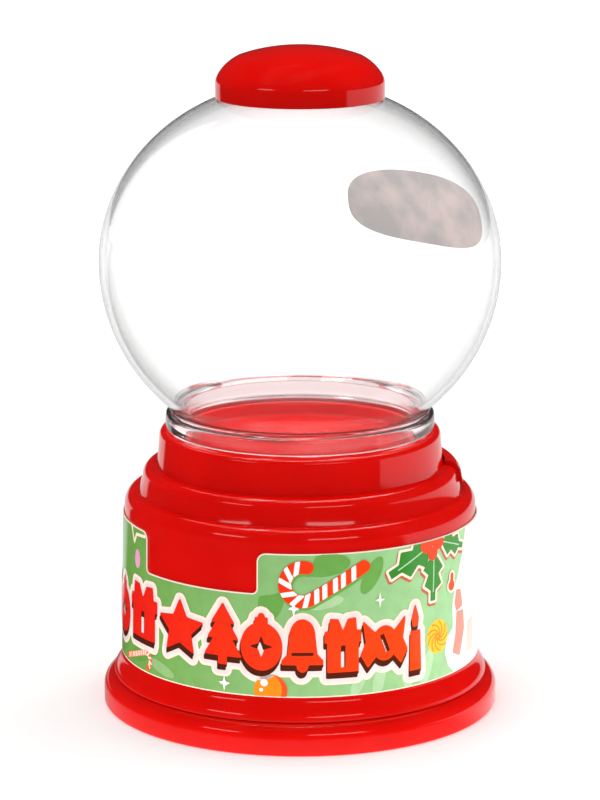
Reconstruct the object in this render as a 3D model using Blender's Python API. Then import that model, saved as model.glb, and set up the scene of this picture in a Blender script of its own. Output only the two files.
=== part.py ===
"""Mini gumball machine: clear globe on a stepped base with a knob-driven rotor inside.

Sizes are in millimetres and angles in degrees; add_part scales the meshes to metres.
The front, with the knob and the outlet, faces -Y. Z is up and the floor is at 0.
"""

import math

import bmesh
import bpy
from mathutils import Matrix, Vector

MM = 0.001
GAP = 0.3
AROUND = 48
COARSE = 24
SMALL = 12

# Base
FOOT_R = 41.45
FLOOR_TOP = 6.4
FLOOR_UNDER = 4.0
RECESS_R = 35.5
SKIRT_BOTTOM = FLOOR_TOP + GAP
SKIRT_R = 39.25
DRUM_R_LOW = 37.3
DRUM_R_HIGH = 36.8
DRUM_Z_LOW = 11.1
DRUM_Z_HIGH = 42.6
DRUM_EDGE = {"centre": (34.6, 42.6), "radii": (2.2, 3.1)}
TIER_2_FOOT = (33.8, 45.6)
TIER_2_EDGE = {"centre": (31.0, 48.9), "radii": (1.9, 2.1)}
TIER_1_FOOT = (29.9, 51.0)
TIER_1_EDGE = {"centre": (28.4, 57.3), "radii": (1.0, 1.2)}
SHELF_TOP = 58.5
SHELF_UNDER = 55.8
INNER_R_LOW = 35.3
INNER_R_HIGH = 34.9
BASE_SCREW_RADIUS = 32.8
BASE_SCREW_TURNS = (45, 135, 225, 315)

# Front facet and plate
FACET_FRONT = -32.4
FACET_BACK = -30.2
FACET_LOW = 8.4
FACET_HIGH = 44.6
PLATE_FRONT = -33.7
PLATE_BACK = FACET_FRONT - 0.25
PLATE_HALF_WIDTH = 14.6
PLATE_LOW = 9.6
PLATE_HIGH = 44.0
PLATE_SCREWS = ((-12.2, 13.0), (12.2, 13.0), (-12.2, 41.2), (12.2, 41.2))
OUTLET_HALF_WIDTH = 7.8
OUTLET_LOW = 9.5
OUTLET_HIGH = 22.4

# Drive: the shaft runs along Y at this height
SHAFT_Z = 36.5
SHAFT_R = 1.8
SHAFT_HOLE_R = SHAFT_R + 0.15
SHAFT_FRONT = -36.9
SHAFT_REAR = 24.9
SQUARE = 6.0
SQUARE_FRONT = -6.0
SQUARE_BACK = -2.0
ROTOR_R = 12.0
ROTOR_Y = 12.0
ROTOR_LENGTH = 18.0
POCKET_R = 5.5
POCKET_FLOOR = SHAFT_Z + 2.6
BARREL_INNER_R = 12.5
BARREL_OUTER_R = 14.0
BARREL_FRONT = 2.6
BARREL_BACK = 23.0
BARREL_WALL = 1.6
COVER_FRONT = 0.9
EAR_X = 15.6
KNOB_R = 7.6
KNOB_BACK = -34.7
KNOB_FRONT = -41.2

# Outlet flap
PIN_Y = -35.0
PIN_Z = 25.2
PIN_R = 0.5
PIN_HOLE_R = 0.62
FLAP_HALF_WIDTH = 8.4
FLAP_BOTTOM = 10.0
HINGE_EAR_OUTER = 10.4

# Chute
CHUTE_HALF_WIDTH = 8.7
CHUTE_INNER = 7.5
CHUTE_FRONT = -29.9
CHUTE_BACK = 19.5
CHUTE_FLOOR_FRONT = 10.3
CHUTE_SLOPE = 0.117
CHUTE_FLOOR_THICK = 1.2
CHUTE_SCREW_Y = -10.0

# Hopper
HOPPER_CUP_R = 23.8
HOPPER_WALL = 1.2
HOPPER_FLOOR = 55.0
HOPPER_RIM = 58.2
HOPPER_FLANGE_R = 28.7
HOPPER_FLANGE_LOW = 50.6
HOPPER_FLANGE_HIGH = 51.6
THROAT_R = 5.7
THROAT_END = 49.2
HOPPER_SCREW_RADIUS = 27.6
HOPPER_SCREW_TURNS = (30, 150, 270)

# Coin path, on the front left
COIN_TURN = -34.5
COIN_SLOT_LENGTH = 20.4
COIN_SLOT_WIDTH = 2.2
BEZEL_HALF_ANGLE = 24.5
GUIDE_TURN = -37.0
GUIDE_SCREW_OUT = 18.0
PLUG_X = -20.0
PLUG_Y = -8.0
PLUG_HOLE_R = 10.9

# Globe and cap
GLOBE_R = 41.63
GLOBE_Z = 93.8
GLOBE_UP = 37.3
GLOBE_DOWN = 39.8
GLOBE_WALL = 1.2
NECK_R = 26.6
SPIGOT_R = 25.3
SPIGOT_INNER_R = 24.1
SPIGOT_LOW = 53.9
COLLAR_R = 14.8
COLLAR_INNER_R = 13.6
COLLAR_TOP = 133.0
CAP_R = 17.4
CAP_RIM = 128.0
CAP_SHOULDER = 131.2
CAP_TOP = 137.6

# Label
LABEL_LOW = 11.3
LABEL_HIGH = 41.1
LABEL_LIFT = 0.12
LABEL_THICK = 0.2
LABEL_FRONT_HALF = 19.2
NOTCH_TURN = 180.0
NOTCH_HALF_ANGLE = 22.0
NOTCH_LOW = 32.7

# Sticker on the globe
STICKER_TURN = 257.0
STICKER_Z = 109.6
STICKER_TILT = -17.0
STICKER_HALF_LENGTH = 18.5
STICKER_HALF_HEIGHT = 6.6

TURN_TO = {
    "+Z": (0, 0, 0),
    "+Y": (-math.pi / 2, 0, 0),
    "-Y": (math.pi / 2, 0, 0),
    "+X": (0, math.pi / 2, 0),
}


def clear_scene():
    for obj in list(bpy.data.objects):
        bpy.data.objects.remove(obj, do_unlink=True)


def make_material(name, colour, roughness, metallic=0.0, alpha=1.0):
    material = bpy.data.materials.new(name)
    material.use_nodes = True
    shader = material.node_tree.nodes["Principled BSDF"]
    shader.inputs["Base Color"].default_value = (*colour, 1.0)
    shader.inputs["Roughness"].default_value = roughness
    shader.inputs["Metallic"].default_value = metallic
    shader.inputs["Alpha"].default_value = alpha
    return material


def out_from_axis(turn, radius):
    """X and Y of a point this far from the axis, turned from the front about Z."""
    angle = math.radians(turn)
    return radius * math.sin(angle), -radius * math.cos(angle)


def arc(centre, radii, start, end, steps, power=1.0):
    """Points on an ellipse, or on a flatter curve where power is above 1."""
    points = []
    for i in range(steps + 1):
        angle = math.radians(start + (end - start) * i / steps)
        across = math.copysign(abs(math.cos(angle)) ** power, math.cos(angle))
        up = math.copysign(abs(math.sin(angle)) ** power, math.sin(angle))
        points.append((centre[0] + radii[0] * across, centre[1] + radii[1] * up))
    return points


def move(shape, offset):
    bmesh.ops.translate(shape, verts=shape.verts, vec=Vector(offset))
    return shape


def turn_z(shape, turn):
    bmesh.ops.rotate(shape, verts=shape.verts, matrix=Matrix.Rotation(math.radians(turn), 3, "Z"))
    return shape


def lathe(section, steps=AROUND):
    """A closed body turned about Z from the (radius, height) points of its section."""
    shape = bmesh.new()
    corners = [shape.verts.new((radius, 0, height)) for radius, height in section]
    edges = []
    for first, second in zip(corners, corners[1:] + corners[:1]):
        if first.co.x > 0 or second.co.x > 0:
            edges.append(shape.edges.new((first, second)))
    bmesh.ops.spin(
        shape,
        geom=corners + edges,
        cent=(0, 0, 0),
        axis=(0, 0, 1),
        angle=2 * math.pi,
        steps=steps,
        use_merge=True,
    )
    bmesh.ops.remove_doubles(shape, verts=shape.verts, dist=1e-4)
    bmesh.ops.recalc_face_normals(shape, faces=shape.faces)
    return shape


def sector(section, turn, half_angle, steps):
    """Part of a turned body, centred on this turn from the front."""
    shape = bmesh.new()
    face = shape.faces.new([shape.verts.new((0, -radius, height)) for radius, height in section])
    bmesh.ops.rotate(
        shape,
        verts=shape.verts,
        matrix=Matrix.Rotation(math.radians(turn - half_angle), 3, "Z"),
    )
    bmesh.ops.spin(
        shape,
        geom=[face, *face.edges, *face.verts],
        cent=(0, 0, 0),
        axis=(0, 0, 1),
        angle=math.radians(2 * half_angle),
        steps=steps,
    )
    bmesh.ops.recalc_face_normals(shape, faces=shape.faces)
    return shape


def block(low, high):
    shape = bmesh.new()
    bmesh.ops.create_cube(shape, size=1.0)
    size = Vector(high) - Vector(low)
    bmesh.ops.scale(shape, verts=shape.verts, vec=size)
    return move(shape, Vector(low) + size / 2)


def rod(radius, start, end, sides=SMALL):
    """A cylinder between two points."""
    shape = bmesh.new()
    along = Vector(end) - Vector(start)
    bmesh.ops.create_cone(
        shape,
        cap_ends=True,
        segments=sides,
        radius1=radius,
        radius2=radius,
        depth=along.length,
    )
    turn = Vector((0, 0, 1)).rotation_difference(along.normalized()).to_matrix()
    bmesh.ops.rotate(shape, verts=shape.verts, matrix=turn)
    return move(shape, (Vector(start) + Vector(end)) / 2)


def prism_x(outline, half_width):
    """A body with this outline of (y, z) points, as wide as this on each side of X = 0."""
    shape = bmesh.new()
    face = shape.faces.new([shape.verts.new((-half_width, y, z)) for y, z in outline])
    pushed = bmesh.ops.extrude_face_region(shape, geom=[face])
    verts = [item for item in pushed["geom"] if isinstance(item, bmesh.types.BMVert)]
    bmesh.ops.translate(shape, verts=verts, vec=(2 * half_width, 0, 0))
    bmesh.ops.recalc_face_normals(shape, faces=shape.faces)
    return shape


def rounded_prism(width, height, radius, depth):
    """A block from the XZ plane along +Y, with rounded corners seen from the front."""
    shape = bmesh.new()
    outline = []
    for quarter in range(4):
        side = 1 if quarter in (0, 3) else -1
        top = 1 if quarter in (0, 1) else -1
        centre = (side * (width / 2 - radius), top * (height / 2 - radius))
        outline += arc(centre, (radius, radius), 90 * quarter, 90 * quarter + 90, 4)
    face = shape.faces.new([shape.verts.new((x, 0, z)) for x, z in outline])
    pushed = bmesh.ops.extrude_face_region(shape, geom=[face])
    verts = [item for item in pushed["geom"] if isinstance(item, bmesh.types.BMVert)]
    bmesh.ops.translate(shape, verts=verts, vec=(0, depth, 0))
    bmesh.ops.recalc_face_normals(shape, faces=shape.faces)
    return shape


def to_object(name, shape):
    bmesh.ops.scale(shape, verts=shape.verts, vec=(MM, MM, MM))
    mesh = bpy.data.meshes.new(name)
    shape.to_mesh(mesh)
    shape.free()
    obj = bpy.data.objects.new(name, mesh)
    bpy.context.scene.collection.objects.link(obj)
    return obj


def add_part(name, shape, material, parent, at=(0, 0, 0), points="+Z", turn=0.0):
    """One sub-part. Its own +Z points the way that points says, then it turns about Z."""
    obj = to_object(name, shape)
    obj.data.materials.append(material)
    obj.data.shade_smooth()
    obj.data.set_sharp_from_angle(angle=math.radians(32))
    obj.location = Vector(at) * MM
    tilt = TURN_TO[points]
    obj.rotation_euler = (tilt[0], tilt[1], math.radians(turn))
    obj.parent = parent
    return obj


def combine(obj, operation, shapes):
    """Cuts shapes from a part or joins them to it. They are in the part's own frame."""
    for number, shape in enumerate(shapes, start=1):
        tool = to_object(f"{obj.name}_{operation.lower()}_{number}", shape)
        tool.parent = obj
        tool.hide_render = True
        tool.display_type = "WIRE"
        modifier = obj.modifiers.new(tool.name, "BOOLEAN")
        modifier.operation = operation
        modifier.solver = "EXACT"
        modifier.object = tool


def cut(obj, *shapes):
    combine(obj, "DIFFERENCE", shapes)


def join(obj, *shapes):
    combine(obj, "UNION", shapes)


def axis_empty(name, at, parent=None):
    """An empty on a joint's axis, which the moving pieces hang from."""
    empty = bpy.data.objects.new(name, None)
    bpy.context.scene.collection.objects.link(empty)
    empty.location = Vector(at) * MM
    empty.empty_display_size = 10 * MM
    empty.parent = parent
    return empty


def screw_shape(head_r, head_height, shank_r, length):
    """A round-headed screw: its shank points along +Z from the origin under the head."""
    section = [(0, length), (shank_r, length), (shank_r, 0), (head_r, 0)]
    section += [(head_r, -0.6 * head_height), (0.6 * head_r, -head_height), (0, -head_height)]
    return lathe(section, 8)


def add_screw(name, material, parent, at, points, head_r=1.9, head_height=1.3, shank_r=0.8, length=6):
    screw = add_part(
        name, screw_shape(head_r, head_height, shank_r, length), material, parent, at, points
    )
    deep = 0.5 - head_height
    cut(screw, block((-2 * head_r, -0.25, -head_height - 1), (2 * head_r, 0.25, deep)))
    return screw


def drum_radius(height):
    share = (height - DRUM_Z_LOW) / (DRUM_Z_HIGH - DRUM_Z_LOW)
    return DRUM_R_LOW + share * (DRUM_R_HIGH - DRUM_R_LOW)


def tier_2_section(inner, outer, low, shelf_r):
    """A strip over the second tier's edge, between two distances from its surface.

    It runs from this height on the tier's wall, round its edge and in to this radius.
    """
    centre, radii = TIER_2_EDGE["centre"], TIER_2_EDGE["radii"]
    wall_r, top = centre[0] + radii[0], centre[1] + radii[1]
    share = (centre[1] - low) / (centre[1] - TIER_2_FOOT[1])
    low_r = wall_r + share * (TIER_2_FOOT[0] - wall_r)
    outside = arc(centre, (radii[0] + outer, radii[1] + outer), 0, 90, 5)
    inside = arc(centre, (radii[0] + inner, radii[1] + inner), 90, 0, 5)
    section = [(low_r + outer, low)] + outside + [(shelf_r, top + outer)]
    return section + [(shelf_r, top + inner)] + inside + [(low_r + inner, low)]


def coin_slit():
    """The slot's cutter: flat along the tier, sloping 45 degrees down and inwards."""
    half = COIN_SLOT_LENGTH / 2
    shape = block((-half, -3, -COIN_SLOT_WIDTH / 2), (half, 8, COIN_SLOT_WIDTH / 2))
    bmesh.ops.rotate(
        shape, verts=shape.verts, matrix=Matrix.Rotation(math.radians(-45), 3, "X")
    )
    move(shape, (0, -32.2, 50.4))
    return turn_z(shape, COIN_TURN)


def globe_section():
    flange = arc((27.2, 60.6), (0.9, 1.8), -75, 75, 4, 0.6)
    low = math.degrees(math.asin(math.sqrt(1 - (NECK_R / GLOBE_R) ** 2)))
    high = math.degrees(math.acos(COLLAR_R / GLOBE_R))
    centre = (0, GLOBE_Z)
    inner_r = GLOBE_R - GLOBE_WALL
    inner_up = GLOBE_UP - GLOBE_WALL
    inner_down = GLOBE_DOWN - GLOBE_WALL
    inner_low = math.degrees(math.asin(math.sqrt(1 - (SPIGOT_INNER_R / inner_r) ** 2)))
    inner_high = math.degrees(math.acos(COLLAR_INNER_R / inner_r))
    section = [(SPIGOT_INNER_R, SPIGOT_LOW), (26.0, SPIGOT_LOW), (26.3, 55.4), (SPIGOT_R, 55.5)]
    section += [(SPIGOT_R, 58.8)] + flange + [(26.9, 62.6)]
    section += arc(centre, (GLOBE_R, GLOBE_DOWN), -low, 0, 7)
    section += arc(centre, (GLOBE_R, GLOBE_UP), 0, high, 8)[1:]
    section += [(COLLAR_R, COLLAR_TOP), (COLLAR_INNER_R, COLLAR_TOP)]
    section += arc(centre, (inner_r, inner_up), inner_high, 0, 5)
    section += arc(centre, (inner_r, inner_down), 0, -inner_low, 5)[1:]
    return section


def globe_point(direction, lift):
    """Where a ray from the globe's centre leaves its outer surface, plus a lift."""
    height = GLOBE_UP if direction.z >= 0 else GLOBE_DOWN
    across = (direction.x**2 + direction.y**2) / GLOBE_R**2
    reach = 1 / math.sqrt(across + (direction.z / height) ** 2)
    return Vector((0, 0, GLOBE_Z)) + direction * (reach + lift)


def build_bottom_plate(material, parent):
    rounding = arc((38.6, 3.4), (FOOT_R - 38.6, 3.0), 70, 0, 4)
    section = [(0, FLOOR_TOP), (39.3, FLOOR_TOP)] + rounding
    section += [(FOOT_R, 1.0), (40.9, 0), (36.4, 0), (RECESS_R, 0.9), (RECESS_R, FLOOR_UNDER)]
    plate = add_part("bottom_plate", lathe(section + [(0, FLOOR_UNDER)]), material, parent)
    low, high = FLOOR_UNDER - 1, FLOOR_TOP + 1
    cut(plate, rod(PLUG_HOLE_R, (PLUG_X, PLUG_Y, low), (PLUG_X, PLUG_Y, high), COARSE))
    holes = [out_from_axis(turn, BASE_SCREW_RADIUS) for turn in BASE_SCREW_TURNS]
    holes += [(-EAR_X, ROTOR_Y), (EAR_X, ROTOR_Y), (0, CHUTE_SCREW_Y)]
    cut(plate, *[rod(1.1, (x, y, low), (x, y, high), 8) for x, y in holes])


def build_coin_plug(material, parent):
    section = [(0, 4.6), (9.2, 4.6), (9.2, 6.9), (PLUG_HOLE_R - GAP, 6.9), (PLUG_HOLE_R - GAP, 3.7)]
    section += [(12.3, 3.7), (12.3, 2.5), (0, 2.5)]
    plug = add_part("coin_plug", lathe(section, COARSE), material, parent, (PLUG_X, PLUG_Y, 0))
    join(plug, block((-4.5, -0.9, 0.8), (4.5, 0.9, 3.0)))


def housing_section():
    skirt = []
    for i in range(5):
        share = i / 4
        ease = share * share * (3 - 2 * share)
        height = SKIRT_BOTTOM + share * (DRUM_Z_LOW - SKIRT_BOTTOM)
        skirt.append((SKIRT_R - ease * (SKIRT_R - DRUM_R_LOW), height))
    section = [(0, SKIRT_BOTTOM)] + skirt
    section += arc(DRUM_EDGE["centre"], DRUM_EDGE["radii"], 0, 90, 4) + [TIER_2_FOOT]
    section += arc(TIER_2_EDGE["centre"], TIER_2_EDGE["radii"], 0, 90, 4) + [TIER_1_FOOT]
    section += arc(TIER_1_EDGE["centre"], TIER_1_EDGE["radii"], 0, 90, 2)
    return section + [(0, SHELF_TOP)]


def housing_cavity():
    shape = lathe(
        [
            (0, 5.0),
            (INNER_R_LOW, 5.0),
            (INNER_R_HIGH, 42.0),
            (33.9, 43.9),
            (32.2, 44.2),
            (31.4, 46.0),
            (30.9, 48.3),
            (30.2, 49.6),
            (28.95, 49.7),
            (28.95, 51.9),
            (26.6, 51.9),
            (26.6, SHELF_UNDER),
            (SPIGOT_R + GAP, SHELF_UNDER),
            (SPIGOT_R + GAP, SHELF_TOP + 1),
            (0, SHELF_TOP + 1),
        ],
        32,
    )
    cut_away = [v for v in shape.verts if v.co.y < FACET_BACK]
    for vert in cut_away:
        vert.co.y = FACET_BACK
    return shape


def build_housing(material, parent):
    housing = add_part("housing", lathe(housing_section()), material, parent)
    cut(
        housing,
        block((-25, -60, FACET_LOW), (25, FACET_FRONT, FACET_HIGH)),
        housing_cavity(),
    )
    posts = [out_from_axis(turn, BASE_SCREW_RADIUS) for turn in BASE_SCREW_TURNS]
    join(housing, *[rod(3.0, (x, y, 6.9), (x, y, 20), 10) for x, y in posts])
    join(housing, *[rod(2.3, (x, FACET_BACK - 1, z), (x, -26.4, z), 10) for x, z in PLATE_SCREWS])
    cut(housing, *[rod(0.95, (x, y, 5), (x, y, 17), 8) for x, y in posts])
    cut(housing, *[rod(0.95, (x, -40, z), (x, -26, z), 8) for x, z in PLATE_SCREWS])
    anchors = [out_from_axis(turn, HOPPER_SCREW_RADIUS) for turn in HOPPER_SCREW_TURNS]
    cut(housing, *[rod(0.6, (x, y, 50), (x, y, 55.3), 8) for x, y in anchors])
    cut(
        housing,
        rod(3.8, (0, -40, SHAFT_Z), (0, -28, SHAFT_Z), 24),
        block((-OUTLET_HALF_WIDTH, -40, OUTLET_LOW), (OUTLET_HALF_WIDTH, -28, OUTLET_HIGH)),
        sector(tier_2_section(-0.8, 3.0, 47.3, 30.1), COIN_TURN, BEZEL_HALF_ANGLE + 0.4, 8),
        coin_slit(),
    )


def build_bezel(material, parent):
    shape = sector(tier_2_section(-0.6, 0.9, 47.5, 30.3), COIN_TURN, BEZEL_HALF_ANGLE, 8)
    bezel = add_part("coin_slot_bezel", shape, material, parent)
    cut(bezel, coin_slit())


def build_label(material, parent):
    low, high = drum_radius(LABEL_LOW) + LABEL_LIFT, drum_radius(LABEL_HIGH) + LABEL_LIFT
    section = [(low, LABEL_LOW), (low + LABEL_THICK, LABEL_LOW)]
    section += [(high + LABEL_THICK, LABEL_HIGH), (high, LABEL_HIGH)]
    label = add_part("label", lathe(section), material, parent)
    half = DRUM_R_LOW * math.sin(math.radians(NOTCH_HALF_ANGLE))
    notch = rounded_prism(2 * half, 30, 1.2, 30)
    move(notch, (0, -DRUM_R_LOW - 5, NOTCH_LOW + 15))
    cut(
        label,
        block((-LABEL_FRONT_HALF, -60, 0), (LABEL_FRONT_HALF, -20, 60)),
        turn_z(notch, NOTCH_TURN),
    )


def build_front_plate(material, parent):
    height = PLATE_HIGH - PLATE_LOW
    shape = rounded_prism(2 * PLATE_HALF_WIDTH, height, 2.5, PLATE_BACK - PLATE_FRONT)
    move(shape, (0, PLATE_FRONT, PLATE_LOW + height / 2))
    plate = add_part("front_plate", shape, material, parent)
    for side in (-1, 1):
        near, far = sorted((side * (FLAP_HALF_WIDTH + 0.4), side * HINGE_EAR_OUTER))
        join(plate, block((near, PIN_Y - 1.3, PIN_Z - 1.3), (far, PLATE_FRONT + 0.4, PIN_Z + 1.3)))
    cut(
        plate,
        rod(3.8, (0, -40, SHAFT_Z), (0, -28, SHAFT_Z), 24),
        block((-OUTLET_HALF_WIDTH, -40, 0), (OUTLET_HALF_WIDTH, -28, OUTLET_HIGH)),
        rod(PIN_HOLE_R, (-15, PIN_Y, PIN_Z), (15, PIN_Y, PIN_Z), 12),
        *[rod(1.1, (x, -40, z), (x, -28, z), 8) for x, z in PLATE_SCREWS],
    )


def build_flap(material, metal, parent, hinge):
    drop = FLAP_BOTTOM - PIN_Z
    half = FLAP_HALF_WIDTH
    shape = rod(1.25, (-half, 0, 0), (half, 0, 0))
    flap = add_part("outlet_flap", shape, material, hinge)
    outline = [(-0.4, -0.2), (-0.4, drop + 3.0), (-2.2, drop), (-1.2, drop), (0.5, drop + 2.4)]
    join(flap, prism_x(outline + [(0.5, -0.2)], half - 0.05))
    cut(flap, rod(PIN_HOLE_R, (-half - 1, 0, 0), (half + 1, 0, 0), 12))
    reach = HINGE_EAR_OUTER - 0.05
    pin = rod(PIN_R, (0, 0, -reach), (0, 0, reach), 12)
    add_part("flap_pin", pin, metal, parent, (0, PIN_Y, PIN_Z), "+X")


def build_chute(material, parent):
    def floor(y):
        return CHUTE_FLOOR_FRONT + CHUTE_SLOPE * (y - CHUTE_FRONT)

    foot = FLOOR_TOP + GAP
    inner_front, inner_back = CHUTE_FRONT + 1.2, CHUTE_BACK - 1.2
    outline = [(CHUTE_FRONT, foot), (CHUTE_BACK, foot), (CHUTE_BACK, 21.8), (CHUTE_FRONT, 17.4)]
    chute = add_part("chute", prism_x(outline, CHUTE_HALF_WIDTH), material, parent)
    trough = [(CHUTE_FRONT - 1, floor(CHUTE_FRONT - 1)), (inner_back, floor(inner_back))]
    hollow = [(inner_front, foot - 1), (inner_back, foot - 1)]
    hollow += [(y, floor(y) - CHUTE_FLOOR_THICK) for y in (inner_back, inner_front)]
    cut(
        chute,
        prism_x(trough + [(inner_back, 40), (CHUTE_FRONT - 1, 40)], CHUTE_INNER),
        prism_x(hollow, CHUTE_INNER),
    )
    post_top = floor(CHUTE_SCREW_Y) - CHUTE_FLOOR_THICK + 0.5
    join(chute, rod(2.2, (0, CHUTE_SCREW_Y, foot + 0.2), (0, CHUTE_SCREW_Y, post_top), 12))
    cut(chute, rod(0.95, (0, CHUTE_SCREW_Y, foot - 1), (0, CHUTE_SCREW_Y, post_top - 1), 12))


def build_cradle(material, parent):
    shape = rod(
        BARREL_OUTER_R, (0, BARREL_FRONT, SHAFT_Z), (0, BARREL_BACK, SHAFT_Z), COARSE
    )
    cradle = add_part("rotor_cradle", shape, material, parent)
    foot = FLOOR_TOP + GAP
    for side in (-1, 1):
        near, far = sorted((side * 10.6, side * 12.4))
        toe_near, toe_far = sorted((side * 11.0, side * 18.4))
        x = side * EAR_X
        join(
            cradle,
            block((near, 4, foot), (far, 20, 33)),
            block((toe_near, 7, foot + 0.01), (toe_far, 17, 8.3)),
            rod(2.3, (x, ROTOR_Y, 7.5), (x, ROTOR_Y, 12.5), 12),
            rod(2.2, (x, BARREL_FRONT + 0.01, SHAFT_Z), (x, 11, SHAFT_Z), 12),
        )
        cut(
            cradle,
            rod(0.95, (x, ROTOR_Y, 5), (x, ROTOR_Y, 11.5), 12),
            rod(0.7, (x, 0, SHAFT_Z), (x, 9, SHAFT_Z), 12),
        )
    cut(
        cradle,
        rod(BARREL_INNER_R, (0, 0, SHAFT_Z), (0, BARREL_BACK - BARREL_WALL, SHAFT_Z), COARSE),
        rod(SHAFT_HOLE_R + 0.1, (0, 15, SHAFT_Z), (0, 30, SHAFT_Z)),
        rod(THROAT_R + 1.9, (0, ROTOR_Y, 15), (0, ROTOR_Y, 60), 20),
    )


def build_rotor_cover(material, parent):
    back = BARREL_FRONT - GAP
    shape = rod(BARREL_OUTER_R, (0, COVER_FRONT, SHAFT_Z), (0, back, SHAFT_Z), COARSE)
    cover = add_part("rotor_cover", shape, material, parent)
    ear_low, ear_high = COVER_FRONT + 0.01, back - 0.01
    for x in (-EAR_X, EAR_X):
        join(cover, rod(2.2, (x, ear_low, SHAFT_Z), (x, ear_high, SHAFT_Z), 12))
        cut(cover, rod(0.95, (x, -5, SHAFT_Z), (x, 5, SHAFT_Z), 12))
    join(cover, rod(2.0, (10.2, -3.0, 38.6), (10.2, COVER_FRONT + 0.5, 38.6), 12))
    cut(
        cover,
        rod(0.7, (10.2, -5, 38.6), (10.2, COVER_FRONT - 0.1, 38.6), 12),
        rod(SHAFT_HOLE_R + 0.1, (0, -5, SHAFT_Z), (0, 5, SHAFT_Z)),
    )


def build_detent(metal, parent):
    top = SHAFT_Z + SQUARE / 2 + 0.15
    leaf = block((-5, SQUARE_FRONT + 0.2, top), (8.4, SQUARE_BACK - 0.2, top + 0.4))
    spring = add_part("detent_spring", leaf, metal, parent)
    join(spring, block((7.2, -3.7, 36.4), (12.4, -3.3, top + 0.38)))
    cut(spring, rod(0.95, (10.2, -8, 38.6), (10.2, 0, 38.6), 12))
    add_screw(
        "detent_screw", metal, parent, (10.2, -3.85, 38.6), "+Y", head_r=1.5, shank_r=0.55, length=3.6
    )


def build_rotor(material, drive):
    section = [(0, -ROTOR_LENGTH / 2), (ROTOR_R - 0.4, -ROTOR_LENGTH / 2)]
    section += [(ROTOR_R, 0.4 - ROTOR_LENGTH / 2), (ROTOR_R, ROTOR_LENGTH / 2 - 0.4)]
    section += [(ROTOR_R - 0.4, ROTOR_LENGTH / 2), (0, ROTOR_LENGTH / 2)]
    rotor = add_part("rotor", lathe(section, COARSE), material, drive, (0, ROTOR_Y, 0), "+Y")
    pocket_low = SHAFT_Z - POCKET_FLOOR
    cut(
        rotor,
        rod(SHAFT_HOLE_R, (0, 0, -20), (0, 0, 20)),
        rod(POCKET_R, (0, pocket_low, 0), (0, -20, 0), 20),
    )


def build_shaft(metal, drive):
    groove = SHAFT_REAR - 1.3
    section = [(0, SHAFT_REAR), (SHAFT_R - 0.3, SHAFT_REAR), (SHAFT_R, SHAFT_REAR - 0.3)]
    section += [(SHAFT_R, groove + 0.6), (1.3, groove + 0.6), (1.3, groove), (SHAFT_R, groove)]
    section += [(SHAFT_R, SHAFT_FRONT), (0.95, SHAFT_FRONT), (0.95, SHAFT_FRONT + 5)]
    section += [(0, SHAFT_FRONT + 5)]
    shaft = add_part("drive_shaft", lathe(section, SMALL), metal, drive, (0, 0, 0), "+Y")
    half = SQUARE / 2
    join(shaft, block((-half, -half, SQUARE_FRONT), (half, half, SQUARE_BACK)))
    ring = lathe([(1.42, 0), (3.8, 0), (3.8, 0.4), (1.42, 0.4)], SMALL)
    clip = add_part("shaft_clip", ring, metal, drive, (0, groove + 0.1, 0), "+Y")
    cut(clip, block((-0.8, -6, -1), (0.8, 0, 2)))


def build_bush_and_washer(material, metal, parent):
    section = [(SHAFT_HOLE_R, 0), (5.2, 0), (5.2, 1.0), (3.5, 1.0), (3.5, 5.0), (SHAFT_HOLE_R, 5.0)]
    at = (0, FACET_BACK + GAP + 1.0, SHAFT_Z)
    add_part("shaft_bush", lathe(section, 24), material, parent, at, "-Y")
    ring = lathe([(2.0, 0), (4.8, 0), (4.8, 0.35), (2.0, 0.35)], 24)
    add_part("thrust_washer", ring, metal, parent, (0, -34.05, SHAFT_Z), "-Y")


def build_knob(material, metal, drive):
    thick = 2.9
    section = [(0, 0), (KNOB_R - 0.4, 0), (KNOB_R, 0.4), (KNOB_R, thick - 1.0)]
    section += arc((KNOB_R - 1.0, thick - 1.0), (1.0, 1.0), 0, 90, 2)[1:] + [(0, thick)]
    knob = add_part("knob", lathe(section, 36), material, drive, (0, KNOB_BACK, 0), "-Y")
    front = KNOB_BACK - KNOB_FRONT
    grip = block((-2.6, -6.2, thick - 0.6), (2.6, 6.2, front))
    long_edges = [edge for edge in grip.edges if max(v.co.z for v in edge.verts) > thick]
    bmesh.ops.bevel(grip, geom=long_edges, offset=0.7, segments=2, profile=0.5, affect="EDGES")
    join(knob, grip)
    flutes = []
    for number in range(12):
        x, y = out_from_axis(13 + 30 * number, KNOB_R + 0.4)
        flutes.append(rod(0.83, (x, y, -1), (x, y, front), 8))
    cut(knob, *flutes)
    seat, recess = KNOB_BACK - SHAFT_FRONT + 0.2, front - 1.8
    bore = [(0, -1), (SHAFT_HOLE_R, -1), (SHAFT_HOLE_R, seat), (0.95, seat), (0.95, recess)]
    bore += [(1.75, recess), (1.75, front + 1), (0, front + 1)]
    cut(knob, lathe(bore, 20))
    add_screw(
        "knob_screw", metal, drive, (0, KNOB_FRONT + 1.6, 0), "+Y", head_r=1.5, head_height=1.2
    )


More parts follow.
